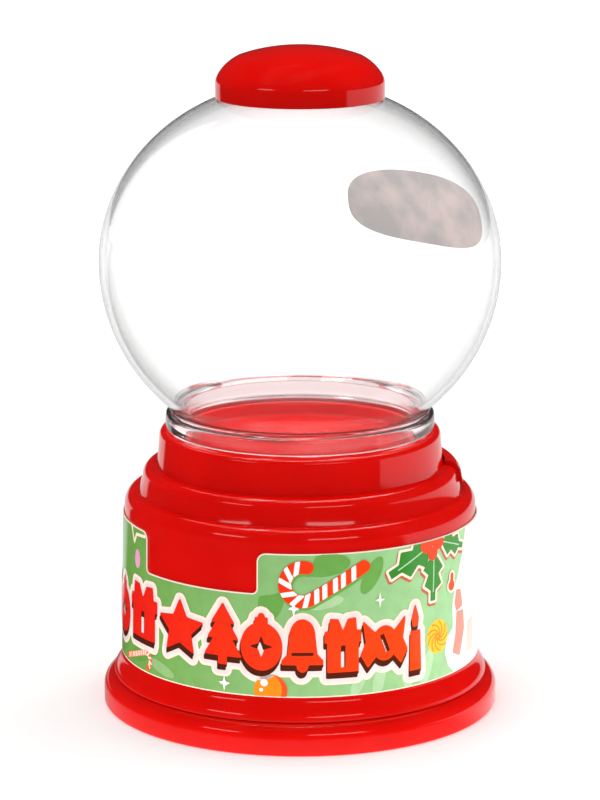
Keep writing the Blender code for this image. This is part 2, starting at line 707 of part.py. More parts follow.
def build_hopper(material, parent):
    inner = HOPPER_CUP_R - HOPPER_WALL
    under = HOPPER_FLOOR - HOPPER_WALL
    section = [(0, under), (inner - 0.6, under), (inner - 0.6, HOPPER_FLANGE_LOW)]
    section += [(HOPPER_FLANGE_R, HOPPER_FLANGE_LOW), (HOPPER_FLANGE_R, HOPPER_FLANGE_HIGH)]
    section += [(HOPPER_CUP_R, HOPPER_FLANGE_HIGH), (HOPPER_CUP_R, HOPPER_RIM)]
    section += [(inner, HOPPER_RIM), (inner, HOPPER_FLOOR + 0.8), (inner - 0.8, HOPPER_FLOOR)]
    hopper = add_part("hopper", lathe(section + [(0, HOPPER_FLOOR)], 40), material, parent)
    funnel = lathe([(0, 54.2), (11.0, 54.2), (7.0, 51.0), (7.0, THROAT_END), (0, THROAT_END)], 20)
    mouth = lathe([(0, 55.6), (10.9, 55.6), (THROAT_R, 52.5), (THROAT_R, 48), (0, 48)], 20)
    guide_x, guide_y = out_from_axis(GUIDE_TURN, GUIDE_SCREW_OUT)
    join(
        hopper,
        move(funnel, (0, ROTOR_Y, 0)),
        rod(2.2, (guide_x, guide_y, 50.5), (guide_x, guide_y, 54.3), 12),
    )
    anchors = [out_from_axis(turn, HOPPER_SCREW_RADIUS) for turn in HOPPER_SCREW_TURNS]
    cut(
        hopper,
        move(mouth, (0, ROTOR_Y, 0)),
        rod(0.7, (guide_x, guide_y, 48), (guide_x, guide_y, 53.4), 12),
        *[rod(0.65, (x, y, 48), (x, y, 53), 8) for x, y in anchors],
    )


def build_coin_guide(material, parent):
    plate = block((-11.5, -22.8, 30), (11.5, -21.6, 50.2))
    guide = add_part("coin_guide", plate, material, parent, turn=GUIDE_TURN)
    join(guide, block((-4, -22.2, 49.0), (4, -15.6, 50.19)))
    cut(guide, rod(0.8, (0, -GUIDE_SCREW_OUT, 45), (0, -GUIDE_SCREW_OUT, 55), 12))


def build_globe(material, parent):
    add_part("globe", lathe(globe_section()), material, parent)


def build_cap(material, lid):
    crown = arc((11.0, CAP_SHOULDER), (CAP_R - 11.0, CAP_TOP - CAP_SHOULDER), 0, 90, 6, 1.4)
    section = [(CAP_R, CAP_RIM)] + crown + [(0, CAP_TOP), (0, CAP_TOP - 1.6)]
    section += [(12.1, CAP_TOP - 1.6), (12.1, 131.0), (13.2, 131.0), (13.3, 134.4)]
    section += [(15.1, 133.4), (16.0, 131.6), (16.0, CAP_RIM + 0.6)]
    shape = move(lathe(section), (0, 0, -CAP_RIM))
    add_part("cap", shape, material, lid)


def build_sticker(material, parent):
    """A thin film: a long rounded outline, laid on the globe along rays from its centre."""
    x, y = out_from_axis(STICKER_TURN, 1)
    middle = Vector((x, y, 0)) * GLOBE_R * 0.9
    middle.z = STICKER_Z - GLOBE_Z
    outwards = middle.normalized()
    level = Vector((0, 0, 1)).cross(outwards).normalized()
    along = Matrix.Rotation(math.radians(STICKER_TILT), 3, outwards) @ level
    across = outwards.cross(along)
    shape = bmesh.new()
    rings = 4
    sides = 20
    rows = []
    for lift in (0.35, 0.15):
        centre = shape.verts.new(globe_point(outwards, lift))
        layer = []
        for ring in range(1, rings + 1):
            share = ring / rings
            outline = arc((0, 0), (STICKER_HALF_LENGTH, STICKER_HALF_HEIGHT), 0, 360, sides, 0.7)
            spots = [middle + along * u * share + across * v * share for u, v in outline[:-1]]
            layer.append([shape.verts.new(globe_point(s.normalized(), lift)) for s in spots])
        rows.append((centre, layer))
    for centre, layer in rows:
        for i in range(sides):
            j = (i + 1) % sides
            shape.faces.new((centre, layer[0][i], layer[0][j]))
            for inner, outer in zip(layer, layer[1:]):
                shape.faces.new((inner[i], outer[i], outer[j], inner[j]))
    top, bottom = rows[0][1][-1], rows[1][1][-1]
    for i in range(sides):
        j = (i + 1) % sides
        shape.faces.new((top[i], bottom[i], bottom[j], top[j]))
    bmesh.ops.recalc_face_normals(shape, faces=shape.faces)
    add_part("globe_sticker", shape, material, parent)


def build_fasteners(metal, parent):
    for number, (x, z) in enumerate(PLATE_SCREWS, start=1):
        name = f"front_plate_screw_{number}"
        add_screw(name, metal, parent, (x, PLATE_FRONT - 0.2, z), "+Y", head_height=1.1)
    under = FLOOR_UNDER - 0.2
    for number, turn in enumerate(BASE_SCREW_TURNS, start=1):
        x, y = out_from_axis(turn, BASE_SCREW_RADIUS)
        add_screw(f"base_screw_{number}", metal, parent, (x, y, under), "+Z", length=10)
    for number, x in enumerate((-EAR_X, EAR_X), start=1):
        add_screw(f"cradle_screw_{number}", metal, parent, (x, ROTOR_Y, under), "+Z", length=6.5)
        at = (x, COVER_FRONT - 0.2, SHAFT_Z)
        name = f"rotor_cover_screw_{number}"
        add_screw(name, metal, parent, at, "+Y", head_r=1.5, shank_r=0.55, length=6)
    add_screw("chute_screw", metal, parent, (0, CHUTE_SCREW_Y, under), "+Z", length=6)
    for number, turn in enumerate(HOPPER_SCREW_TURNS, start=1):
        x, y = out_from_axis(turn, HOPPER_SCREW_RADIUS)
        at = (x, y, HOPPER_FLANGE_LOW - 0.2)
        name = f"hopper_screw_{number}"
        add_screw(name, metal, parent, at, "+Z", head_r=1.1, shank_r=0.5, length=4.4)
    x, y = out_from_axis(GUIDE_TURN, GUIDE_SCREW_OUT)
    at = (x, y, 48.8)
    add_screw("coin_guide_screw", metal, parent, at, "+Z", head_r=1.4, shank_r=0.55, length=4.2)


def main():
    clear_scene()
    red = make_material("red_plastic", (0.58, 0.003, 0.001), 0.2)
    white = make_material("white_plastic", (0.85, 0.85, 0.82), 0.3)
    natural = make_material("natural_nylon", (0.72, 0.70, 0.62), 0.45)
    clear = make_material("clear_plastic", (0.95, 0.97, 0.98), 0.05, alpha=0.25)
    film = make_material("printed_film", (0.25, 0.45, 0.12), 0.25)
    patch = make_material("sticker_film", (0.62, 0.52, 0.48), 0.5)
    rubber = make_material("soft_plug", (0.06, 0.06, 0.06), 0.7)
    steel = make_material("steel", (0.62, 0.62, 0.64), 0.3, metallic=1.0)

    machine = axis_empty("gumball_machine", (0, 0, 0))
    drive = axis_empty("drive_axis", (0, 0, SHAFT_Z), machine)
    flap_hinge = axis_empty("flap_axis", (0, PIN_Y, PIN_Z), machine)
    lid = axis_empty("cap_axis", (0, 0, CAP_RIM), machine)

    build_bottom_plate(red, machine)
    build_coin_plug(rubber, machine)
    build_housing(red, machine)
    build_bezel(red, machine)
    build_label(film, machine)
    build_front_plate(white, machine)
    build_flap(white, steel, machine, flap_hinge)
    build_chute(white, machine)
    build_cradle(natural, machine)
    build_rotor_cover(natural, machine)
    build_detent(steel, machine)
    build_rotor(natural, drive)
    build_shaft(steel, drive)
    build_bush_and_washer(natural, steel, machine)
    build_knob(red, steel, drive)
    build_hopper(red, machine)
    build_coin_guide(natural, machine)
    build_globe(clear, machine)
    build_cap(red, lid)
    build_sticker(patch, machine)
    build_fasteners(steel, machine)


main()
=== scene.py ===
"""Looks of the mini gumball machine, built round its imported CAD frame.

Shapes are made in millimetres and scaled to metres when they become objects. Angles are in degrees.
A turn is measured about Z from the front, which faces -Y, and grows anticlockwise seen from above.
"""

import math

import bmesh
import bpy
import numpy as np
from mathutils import Matrix, Vector


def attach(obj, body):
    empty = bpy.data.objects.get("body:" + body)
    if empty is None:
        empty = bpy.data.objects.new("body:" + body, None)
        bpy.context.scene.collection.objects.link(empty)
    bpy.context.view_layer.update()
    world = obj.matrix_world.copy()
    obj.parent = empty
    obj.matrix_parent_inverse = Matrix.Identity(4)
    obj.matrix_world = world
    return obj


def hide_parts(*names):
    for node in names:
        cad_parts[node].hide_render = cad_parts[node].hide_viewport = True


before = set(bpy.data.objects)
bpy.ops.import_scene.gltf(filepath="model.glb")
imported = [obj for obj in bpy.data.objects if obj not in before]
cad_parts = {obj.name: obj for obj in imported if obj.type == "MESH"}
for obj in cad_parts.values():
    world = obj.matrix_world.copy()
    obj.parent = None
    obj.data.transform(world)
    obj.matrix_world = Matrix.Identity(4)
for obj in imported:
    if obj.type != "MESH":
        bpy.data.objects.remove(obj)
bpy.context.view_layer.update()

MM = 0.001
FINE = 192

# Camera and studio, in metres from the floor's centre
VIEW_TURN = 215.5
CAMERA_OUT = 0.7233
CAMERA_HEIGHT = 0.2284
CAMERA_PITCH = 12.78
LENS = 160.0
SENSOR = 36.0

# Base
DRUM_LOW = (37.3, 11.1)
DRUM_HIGH = (36.8, 42.6)
FOOT_R = 41.45
DRUM_EDGE = ((34.6, 42.6), (2.2, 3.1))
TIER_2_FOOT = (33.8, 45.6)
TIER_2_EDGE = ((31.0, 48.9), (1.9, 2.1))
TIER_1_FOOT = (29.9, 51.0)
TIER_1_EDGE = ((28.4, 57.3), (1.0, 1.2))
SHELF_TOP = 58.5
BASE_SCREW_RADIUS = 32.8
BASE_SCREW_TURNS = (45, 135, 225, 315)

# Front
FACET = -32.4
FACET_INSIDE = -30.2
SHAFT_Z = 36.5
PLATE_SCREWS = ((-12.2, 13.0), (12.2, 13.0), (-12.2, 41.2), (12.2, 41.2))

# Coin slot
COIN_TURN = -34.5
BEZEL_HALF_ANGLE = 24.5
GUIDE_TURN = -37.0

# Globe and cap
GLOBE_R = 41.63
GLOBE_Z = 93.8
GLOBE_UP = 37.3
GLOBE_DOWN = 39.8
GLOBE_WALL = 1.2
NECK_R = 26.6
SPIGOT_INNER_R = 24.1
COLLAR_R = 14.8
COLLAR_INNER_R = 13.6
CAP_R = 17.4
CAP_RIM = 128.0

# Hopper and coin guide
THROAT_Y = 12.0
HOPPER_SCREW_RADIUS = 27.6
HOPPER_SCREW_TURNS = (30, 150, 270)

# Knob and flap
KNOB_BACK = -34.7
KNOB_FRONT = -41.2
KNOB_R = 7.6
PIN_Y = -35.0
PIN_Z = 25.2

# Sticker on the globe
STICKER_TURN = 257.0
STICKER_Z = 110.0
STICKER_TILT = -15.0
STICKER_HALF = (18.3, 7.7)

# Wrap label. Its art is laid out in millimetres: u runs round the drum to the camera's right, from
# the middle of the notch at the back, and v is the height.
LABEL_LOW = 11.3
LABEL_HIGH = 41.1
LABEL_END = 97.0
LABEL_LIFT = 0.12
LABEL_THICK = 0.2
NOTCH_HALF = 14.32
NOTCH_LOW = 32.7
PRINT = LABEL_LIFT + LABEL_THICK + 0.01
LAYER = 0.03


def turned(turn, radius, height=0.0):
    """A point this far from the axis, turned from the front."""
    angle = math.radians(turn)
    return Vector((radius * math.sin(angle), -radius * math.cos(angle), height))


def studio(across, away, height):
    """A point in metres, given as the camera sees it: to its right, away from it, and up."""
    return Matrix.Rotation(math.radians(VIEW_TURN), 3, "Z") @ Vector((across, away, height))


# ---------------------------------------------------------------- shapes


def arc(centre, radii, start, end, steps, power=1.0):
    """Points on an ellipse, or on a flatter curve where power is above 1."""
    points = []
    for i in range(steps + 1):
        angle = math.radians(start + (end - start) * i / steps)
        across = math.copysign(abs(math.cos(angle)) ** power, math.cos(angle))
        up = math.copysign(abs(math.sin(angle)) ** power, math.sin(angle))
        points.append((centre[0] + radii[0] * across, centre[1] + radii[1] * up))
    return points


def spin(shape, geom, angle, steps, **options):
    centre, axis = (0, 0, 0), (0, 0, 1)
    turn = math.radians(angle)
    bmesh.ops.spin(shape, geom=geom, cent=centre, axis=axis, angle=turn, steps=steps, **options)


def lathe(section, steps=FINE):
    """A closed body turned about Z from the (radius, height) points of its section."""
    shape = bmesh.new()
    corners = [shape.verts.new((radius, 0, height)) for radius, height in section]
    edges = []
    for first, second in zip(corners, corners[1:] + corners[:1]):
        if first.co.x > 0 or second.co.x > 0:
            edges.append(shape.edges.new((first, second)))
    spin(shape, corners + edges, 360, steps, use_merge=True)
    bmesh.ops.remove_doubles(shape, verts=shape.verts, dist=1e-4)
    bmesh.ops.recalc_face_normals(shape, faces=shape.faces)
    return shape


def sector(section, turn, half_angle, steps):
    """Part of a turned body, centred on this turn from the front."""
    shape = bmesh.new()
    face = shape.faces.new([shape.verts.new((0, -radius, height)) for radius, height in section])
    start = Matrix.Rotation(math.radians(turn - half_angle), 3, "Z")
    bmesh.ops.rotate(shape, verts=shape.verts, matrix=start)
    spin(shape, [face, *face.edges, *face.verts], 2 * half_angle, steps)
    bmesh.ops.recalc_face_normals(shape, faces=shape.faces)
    return shape


def move(shape, offset):
    bmesh.ops.translate(shape, verts=shape.verts, vec=Vector(offset))
    return shape


def turn_z(shape, turn):
    bmesh.ops.rotate(shape, verts=shape.verts, matrix=Matrix.Rotation(math.radians(turn), 3, "Z"))
    return shape


def block(low, high):
    shape = bmesh.new()
    bmesh.ops.create_cube(shape, size=1.0)
    size = Vector(high) - Vector(low)
    bmesh.ops.scale(shape, verts=shape.verts, vec=size)
    return move(shape, Vector(low) + size / 2)


def rod(radius, start, end, sides=48):
    """A cylinder between two points."""
    shape = bmesh.new()
    along = Vector(end) - Vector(start)
    ends = {"radius1": radius, "radius2": radius, "cap_ends": True}
    bmesh.ops.create_cone(shape, segments=sides, depth=along.length, **ends)
    to_axis = Vector((0, 0, 1)).rotation_difference(along.normalized()).to_matrix()
    bmesh.ops.rotate(shape, verts=shape.verts, matrix=to_axis)
    return move(shape, (Vector(start) + Vector(end)) / 2)


def uprights(radius, spots, low, high, sides=16):
    """Upright cylinders between two heights."""
    return [rod(radius, (spot.x, spot.y, low), (spot.x, spot.y, high), sides) for spot in spots]


def plate_rods(radius, front, back, sides):
    """Cylinders along Y where the front plate's screws are."""
    return [rod(radius, (x, front, z), (x, back, z), sides) for x, z in PLATE_SCREWS]


def prism_x(outline, half_width):
    """A body with this outline of (y, z) points, as wide as this on each side of X = 0."""
    shape = bmesh.new()
    face = shape.faces.new([shape.verts.new((-half_width, y, z)) for y, z in outline])
    pushed = bmesh.ops.extrude_face_region(shape, geom=[face])
    verts = [item for item in pushed["geom"] if isinstance(item, bmesh.types.BMVert)]
    bmesh.ops.translate(shape, verts=verts, vec=(2 * half_width, 0, 0))
    bmesh.ops.recalc_face_normals(shape, faces=shape.faces)
    return shape


def rounded_plate(width, height, radius, depth, bevel):
    """A plate from the XZ plane along +Y: round corners, and a rounded edge round its front."""
    shape = bmesh.new()
    outline = []
    for quarter in range(4):
        side = 1 if quarter in (0, 3) else -1
        top = 1 if quarter in (0, 1) else -1
        centre = (side * (width / 2 - radius), top * (height / 2 - radius))
        outline += arc(centre, (radius, radius), 90 * quarter, 90 * quarter + 90, 12)
    face = shape.faces.new([shape.verts.new((x, 0, z)) for x, z in outline])
    rim = list(face.edges)
    pushed = bmesh.ops.extrude_face_region(shape, geom=[face], use_keep_orig=True)
    verts = [item for item in pushed["geom"] if isinstance(item, bmesh.types.BMVert)]
    bmesh.ops.translate(shape, verts=verts, vec=(0, depth, 0))
    bmesh.ops.recalc_face_normals(shape, faces=shape.faces)
    bmesh.ops.bevel(shape, geom=rim, offset=bevel, segments=4, profile=0.5, affect="EDGES")
    return shape


def to_object(name, shape):
    bmesh.ops.scale(shape, verts=shape.verts, vec=(MM, MM, MM))
    mesh = bpy.data.meshes.new(name)
    shape.to_mesh(mesh)
    shape.free()
    obj = bpy.data.objects.new(name, mesh)
    bpy.context.scene.collection.objects.link(obj)
    return obj


def combine(obj, operation, *shapes):
    """Cuts shapes from a piece or joins them to it, and keeps the result as its mesh."""
    tools = [to_object(f"{obj.name}_tool", shape) for shape in shapes]
    for tool in tools:
        modifier = obj.modifiers.new(tool.name, "BOOLEAN")
        modifier.operation = operation
        modifier.solver = "EXACT"
        modifier.object = tool
    bpy.context.view_layer.update()
    graph = bpy.context.evaluated_depsgraph_get()
    mesh = bpy.data.meshes.new_from_object(obj.evaluated_get(graph))
    obj.modifiers.clear()
    obj.data = mesh
    for tool in tools:
        bpy.data.objects.remove(tool)
    return obj


def dress(obj, material, body, slot, *nodes, sharp=32):
    """Gives a finished piece its material and body, and hides the CAD nodes it stands for."""
    obj.data.materials.clear()
    obj.data.materials.append(material)
    obj.data.shade_smooth()
    obj.data.set_sharp_from_angle(angle=math.radians(sharp))
    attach(obj, body)
    if nodes:
        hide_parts(*nodes)
    return obj


# ---------------------------------------------------------------- materials


class Surface:
    """A Principled material and short ways to add procedural variation to it."""

    def __init__(self, name, **values):
        self.material = bpy.data.materials.new(name)
        self.material.use_nodes = True
        self.tree = self.material.node_tree
        self.shader = self.tree.nodes["Principled BSDF"]
        for socket, value in values.items():
            self.set(socket.replace("_", " "), value)
        self.place = self.add("ShaderNodeTexCoord").outputs["Object"]

    def set(self, socket, value):
        self.shader.inputs[socket].default_value = value

    def add(self, kind, **settings):
        node = self.tree.nodes.new(kind)
        for key, value in settings.items():
            setattr(node, key, value)
        return node

    def link(self, source, target):
        self.tree.links.new(source, target)

    def noise(self, size, detail=2.0):
        """Noise from 0 to 1, with features about this many millimetres across."""
        node = self.add("ShaderNodeTexNoise")
        node.inputs["Scale"].default_value = 1 / (size * MM)
        node.inputs["Detail"].default_value = detail
        self.link(self.place, node.inputs["Vector"])
        return node.outputs["Fac"]

    def ramp(self, value, low, high, start=0.0, end=1.0):
        """The value mapped from start..end to low..high."""
        node = self.add("ShaderNodeMapRange")
        self.link(value, node.inputs["Value"])
        node.inputs["From Min"].default_value = start
        node.inputs["From Max"].default_value = end
        node.inputs["To Min"].default_value = low
        node.inputs["To Max"].default_value = high
        return node.outputs["Result"]

    def math(self, operation, first, second):
        """A sum of two values, each a number or a socket, kept from 0 to 1."""
        node = self.add("ShaderNodeMath", operation=operation, use_clamp=True)
        for socket, value in zip(node.inputs, (first, second)):
            if isinstance(value, bpy.types.NodeSocket):
                self.link(value, socket)
            else:
                socket.default_value = value
        return node.outputs["Value"]

    def along(self, direction, start, end):
        """0 to 1 along a direction, between two distances from the axis in millimetres."""
        node = self.add("ShaderNodeVectorMath", operation="DOT_PRODUCT")
        self.link(self.place, node.inputs[0])
        node.inputs[1].default_value = direction
        return self.ramp(node.outputs["Value"], 0, 1, start * MM, end * MM)

    def mix(self, share, first, second):
        """A colour between two, each a colour or a socket."""
        node = self.add("ShaderNodeMix", data_type="RGBA")
        self.link(share, node.inputs["Factor"])
        for socket, value in ((node.inputs["A"], first), (node.inputs["B"], second)):
            if isinstance(value, bpy.types.NodeSocket):
                self.link(value, socket)
            else:
                socket.default_value = (*value, 1.0)
        return node.outputs["Result"]

    def colour(self, socket):
        self.link(socket, self.shader.inputs["Base Color"])

    def roughness(self, size, low, high):
        self.link(self.ramp(self.noise(size), low, high, 0.3, 0.7), self.shader.inputs["Roughness"])

    def bump(self, height, strength, distance):
        node = self.add("ShaderNodeBump")
        node.inputs["Strength"].default_value = strength
        node.inputs["Distance"].default_value = distance * MM
        self.link(height, node.inputs["Height"])
        self.link(node.outputs["Normal"], self.shader.inputs["Normal"])


def plastic(name, colour, darker, rough, wave=0.008, **values):
    """Moulded plastic: slightly uneven colour and gloss, and a faint waviness of the surface."""
    surface = Surface(name, **values)
    surface.colour(surface.mix(surface.ramp(surface.noise(9), 0, 1, 0.3, 0.7), colour, darker))
    surface.roughness(4, rough * 0.8, rough * 1.2)
    surface.bump(surface.noise(6, 1.0), 0.5, wave)
    return surface.material


def srgb(levels):
    """A linear colour from 0 to 255 screen levels."""
    return tuple(((level / 255 + 0.055) / 1.055) ** 2.4 for level in levels)


def ink(name, left, right):
    """Printed colour, going from one to the other across the label as the camera sees it. Where an ink
    is paler at the right, that is painted reflection, the glare that whitens the label towards the
    camera's right; the rest of the change is the print's own colour shift.
    """
    surface = Surface(name, Roughness=0.16, Specular_IOR_Level=0.35)
    # Painted reflection: the ink is mixed paler towards the camera's right, where glare whitens the
    # label
    print_with_painted_glare = surface.mix(surface.along(studio(1, 0, 0), -34, 34), srgb(left), srgb(right))
    patchy = surface.ramp(surface.noise(2.5), 0.0, 0.1, 0.35, 0.7)
    surface.colour(surface.mix(patchy, print_with_painted_glare, (0.02, 0.02, 0.0)))


# Each ink's screen colour at the label's left and at its right. A paler right colour is painted
# reflection, the glare that whitens the label towards the camera's right.
INKS = {
    "green": ((105, 155, 70), (160, 205, 148)),
    "dark_green": ((92, 150, 60), (112, 168, 84)),
    "light_green": ((134, 176, 108), (184, 216, 172)),
    "leaf": ((38, 120, 40), (60, 140, 50)),
    "cream": ((250, 224, 206), (252, 226, 210)),
    "pink": ((226, 210, 206), (232, 216, 214)),
    "brown": ((74, 26, 14), (84, 32, 16)),
    "red": ((222, 18, 6), (246, 72, 8)),
    "orange": ((238, 92, 40), (242, 62, 18)),
    "amber": ((250, 130, 10), (236, 140, 12)),
    "yellow": ((250, 196, 40), (250, 196, 40)),
    "rust": ((196, 96, 60), (196, 96, 60)),
    "rose": ((226, 150, 190), (226, 150, 190)),
    "white": ((250, 240, 234), (250, 240, 234)),
    "snow": ((242, 228, 228), (248, 234, 232)),
    "salmon": ((240, 140, 120), (240, 140, 120)),
    "blush": ((248, 200, 188), (248, 200, 188)),
}


def make_materials():
    """Materials by name. Those of CAD nodes that stay have their slot's name."""
    reds = ((0.60, 0.0022, 0.0008), (0.55, 0.0018, 0.0006))
    creams = (srgb((250, 226, 208)), srgb((248, 223, 205)))
    return {
        "red_plastic": plastic("red_gloss", *reds, 0.09),
        "red_satin": plastic("red_satin", *reds, 0.22, Specular_IOR_Level=0.12),
        "white_plastic": plastic("white_gloss", (0.68, 0.68, 0.65), (0.63, 0.63, 0.60), 0.25),
        "natural_nylon": plastic("natural_nylon", (0.70, 0.68, 0.60), (0.62, 0.60, 0.52), 0.42),
        "soft_plug": plastic("soft_plug", (0.06, 0.06, 0.06), (0.04, 0.04, 0.04), 0.65),
        "film": plastic("label_film", *creams, 0.3),
        "patch": make_patch(),
        "steel": make_steel(),
        "clear": make_clear(),
    }


def make_clear():
    """Clear plastic with painted light: its colour is painted darker grey where it is seen edge on,
    and painted pinkish at its foot as a reflection of the base's red.
    """
    surface = Surface("clear_plastic", Transmission_Weight=0.985, IOR=1.49)
    facing = surface.add("ShaderNodeLayerWeight").outputs["Facing"]
    # Painted shade: the colour goes dark grey where the surface is seen edge on
    edge = surface.math("POWER", surface.ramp(facing, 0, 1, 0.35, 1.0), 2.5)
    # Painted reflection: near the neck the colour is mixed with the pink of the red base seen in it
    foot = surface.along((0, 0, 1), 64, 61.5)
    clear_tint_and_red_reflection = surface.mix(foot, (0.985, 0.984, 0.983), (0.80, 0.67, 0.67))
    edge_shade_and_red_reflection = surface.mix(foot, (0.02, 0.02, 0.02), (0.62, 0.50, 0.51))
    surface.colour(surface.mix(edge, clear_tint_and_red_reflection, edge_shade_and_red_reflection))
    surface.roughness(15, 0.0, 0.03)
    return surface.material


def make_patch():
    """A worn paper film: pale and pinkish, with greyer blotches."""
    surface = Surface("patch_film", Roughness=0.55, Specular_IOR_Level=0.2)
    blotches = surface.ramp(surface.noise(7, 4.0), 0, 1, 0.38, 0.62)
    surface.colour(surface.mix(blotches, (0.54, 0.45, 0.43), (0.38, 0.35, 0.34)))
    return surface.material


def make_steel():
    surface = Surface("zinc_steel", Metallic=1.0)
    cloudy = surface.ramp(surface.noise(2), 0, 1, 0.3, 0.7)
    surface.colour(surface.mix(cloudy, (0.66, 0.66, 0.68), (0.56, 0.56, 0.58)))
    surface.roughness(1.2, 0.22, 0.4)
    return surface.material


# ---------------------------------------------------------------- camera, stage, light


def make_camera():
    data = bpy.data.cameras.new("photo_camera")
    data.lens = LENS
    data.sensor_width = SENSOR
    camera = bpy.data.objects.new("photo_camera", data)
    bpy.context.scene.collection.objects.link(camera)
    camera.location = studio(0, -CAMERA_OUT, CAMERA_HEIGHT)
    camera.rotation_euler = (math.radians(90 - CAMERA_PITCH), 0, math.radians(VIEW_TURN))
    bpy.context.scene.camera = camera


def softbox(name, place, target, size, radiance, mirrored=False):
    """A rectangular light of this brightness, facing the target, that glossy pieces may mirror."""
    data = bpy.data.lights.new(name, "AREA")
    data.shape = "RECTANGLE"
    data.size, data.size_y = size
    data.energy = radiance * math.pi * size[0] * size[1]
    light = bpy.data.objects.new(name, data)
    bpy.context.scene.collection.objects.link(light)
    light.location = studio(*place)
    aim = studio(*target) - light.location
    light.rotation_euler = aim.to_track_quat("-Z", "Y").to_euler()
    light.visible_camera = False
    light.visible_glossy = mirrored


def make_world():
    """White to the camera, a soft white fill on matt surfaces, and a dim room in reflections."""
    world = bpy.data.worlds.new("studio")
    bpy.context.scene.world = world
    world.use_nodes = True
    tree = world.node_tree
    background = tree.nodes["Background"]
    rays = tree.nodes.new("ShaderNodeLightPath")
    strength = 0.03
    for ray, level in (("Transmission Depth", 0.85), ("Is Diffuse Ray", 0.5), ("Is Camera Ray", 1.1)):
        choose = tree.nodes.new("ShaderNodeMix")
        tree.links.new(rays.outputs[ray], choose.inputs["Factor"])
        if isinstance(strength, float):
            choose.inputs["A"].default_value = strength
        else:
            tree.links.new(strength, choose.inputs["A"])
        choose.inputs["B"].default_value = level
        strength = choose.outputs["Result"]
    tree.links.new(strength, background.inputs["Strength"])
    background.inputs["Color"].default_value = (1, 1, 1, 1)


def make_floor():
    """A pale floor. Glossy surfaces mirror only the part behind the machine and by its foot."""
    shape = bmesh.new()
    bmesh.ops.create_circle(shape, cap_ends=True, segments=96, radius=4000)
    floor = to_object("floor", shape)
    surface = Surface("pale_floor", Roughness=0.9)
    rays = surface.add("ShaderNodeLightPath").outputs
    mirror_only = surface.math("SUBTRACT", rays["Is Glossy Ray"], rays["Transmission Depth"])
    seen = surface.mix(rays["Is Diffuse Ray"], (0.60, 0.60, 0.60), (0.9, 0.9, 0.9))
    surface.colour(surface.mix(mirror_only, seen, (0.0, 0.0, 0.0)))
    distance = surface.add("ShaderNodeVectorMath", operation="LENGTH")
    surface.link(surface.place, distance.inputs[0])
    far = surface.ramp(distance.outputs["Value"], 0, 1, 0.12, 0.62)
    near = surface.ramp(distance.outputs["Value"], 1, 0, 0.045, 0.11)
    glow = surface.mix(far, (0.13, 0.13, 0.13), (0.38, 0.38, 0.38))
    bounce = surface.mix(near, (0.12, 0.12, 0.12), (0.85, 0.85, 0.85))
    right = surface.along(studio(0.41, 0.91, 0), -6, 6)
    left = surface.along(studio(0.74, 0.67, 0), -6, 6)
    behind = surface.math("MULTIPLY", left, right)
    foot = surface.ramp(distance.outputs["Value"], 1, 0, 0.045, 0.065)
    mirrored = surface.mix(foot, (0.01, 0.01, 0.01), (0.22, 0.2, 0.2))
    mirrored = surface.mix(behind, mirrored, (0.45, 0.45, 0.45))
    emission = surface.mix(rays["Is Diffuse Ray"], glow, bounce)
    surface.link(surface.mix(mirror_only, emission, mirrored), surface.shader.inputs["Emission Color"])
    surface.set("Emission Strength", 2.0)
    floor.data.materials.append(surface.material)


def make_lights():
    """Broad soft light from above and the sides, and two low softboxes that glossy edges mirror."""
    softbox("overhead_left", (-0.30, 0, 0.85), (-0.30, 0, 0), (0.16, 1.2), 5.3)
    softbox("overhead_right", (0.11, 0, 0.85), (0.11, 0, 0), (0.18, 1.2), 5.3)
    softbox("right_panel", (0.9, 0.05, 0.5), (0, 0, 0.06), (0.9, 1.0), 1.6)
    softbox("left_panel", (-0.9, 0.7, 0.5), (0, 0, 0.06), (0.9, 1.0), 1.4)
    for name, bearing, width in (("front_left", -47.5, 0.40), ("front_right", 22.0, 0.61)):
        angle = math.radians(bearing)
        place = (math.sin(angle), -math.cos(angle), 0.485)
        softbox(name, place, (0, 0, 0.05), (width, 0.10), 4.2, mirrored=True)


# ---------------------------------------------------------------- base


def drum_radius(height):
    share = (height - DRUM_LOW[1]) / (DRUM_HIGH[1] - DRUM_LOW[1])
    return DRUM_LOW[0] + share * (DRUM_HIGH[0] - DRUM_LOW[0])


def tier_2_strip(inner, outer, low, shelf_r, steps=16):
    """A strip over the second tier's edge, between two distances from its surface.

    It runs from this height on the tier's wall, round its edge and in to this radius.
    """
    centre, radii = TIER_2_EDGE
    wall_r, top = centre[0] + radii[0], centre[1] + radii[1]
    share = (centre[1] - low) / (centre[1] - TIER_2_FOOT[1])
    low_r = wall_r + share * (TIER_2_FOOT[0] - wall_r)
    outside = arc(centre, (radii[0] + outer, radii[1] + outer), 0, 90, steps)
    inside = arc(centre, (radii[0] + inner, radii[1] + inner), 90, 0, steps)
    section = [(low_r + outer, low)] + outside + [(shelf_r, top + outer)]
    return section + [(shelf_r, top + inner)] + inside + [(low_r + inner, low)]


def coin_slit():
    """The slot's cutter: flat along the tier, sloping 45 degrees down and inwards."""
    half_length, half_width = 10.2, 1.1
    shape = block((-half_length, -3, -half_width), (half_length, 8, half_width))
    slope = Matrix.Rotation(math.radians(-45), 3, "X")
    bmesh.ops.rotate(shape, verts=shape.verts, matrix=slope)
    return turn_z(move(shape, (0, -32.2, 50.4)), COIN_TURN)


def fillet(crease, above):
    """A small hollow curve in the crease between a tier's wall and the shelf it stands on."""
    out = (crease[0] + 0.25, crease[1] + 0.03)
    middle = (crease[0] + 0.04, crease[1] + 0.09)
    return [out, middle, above]


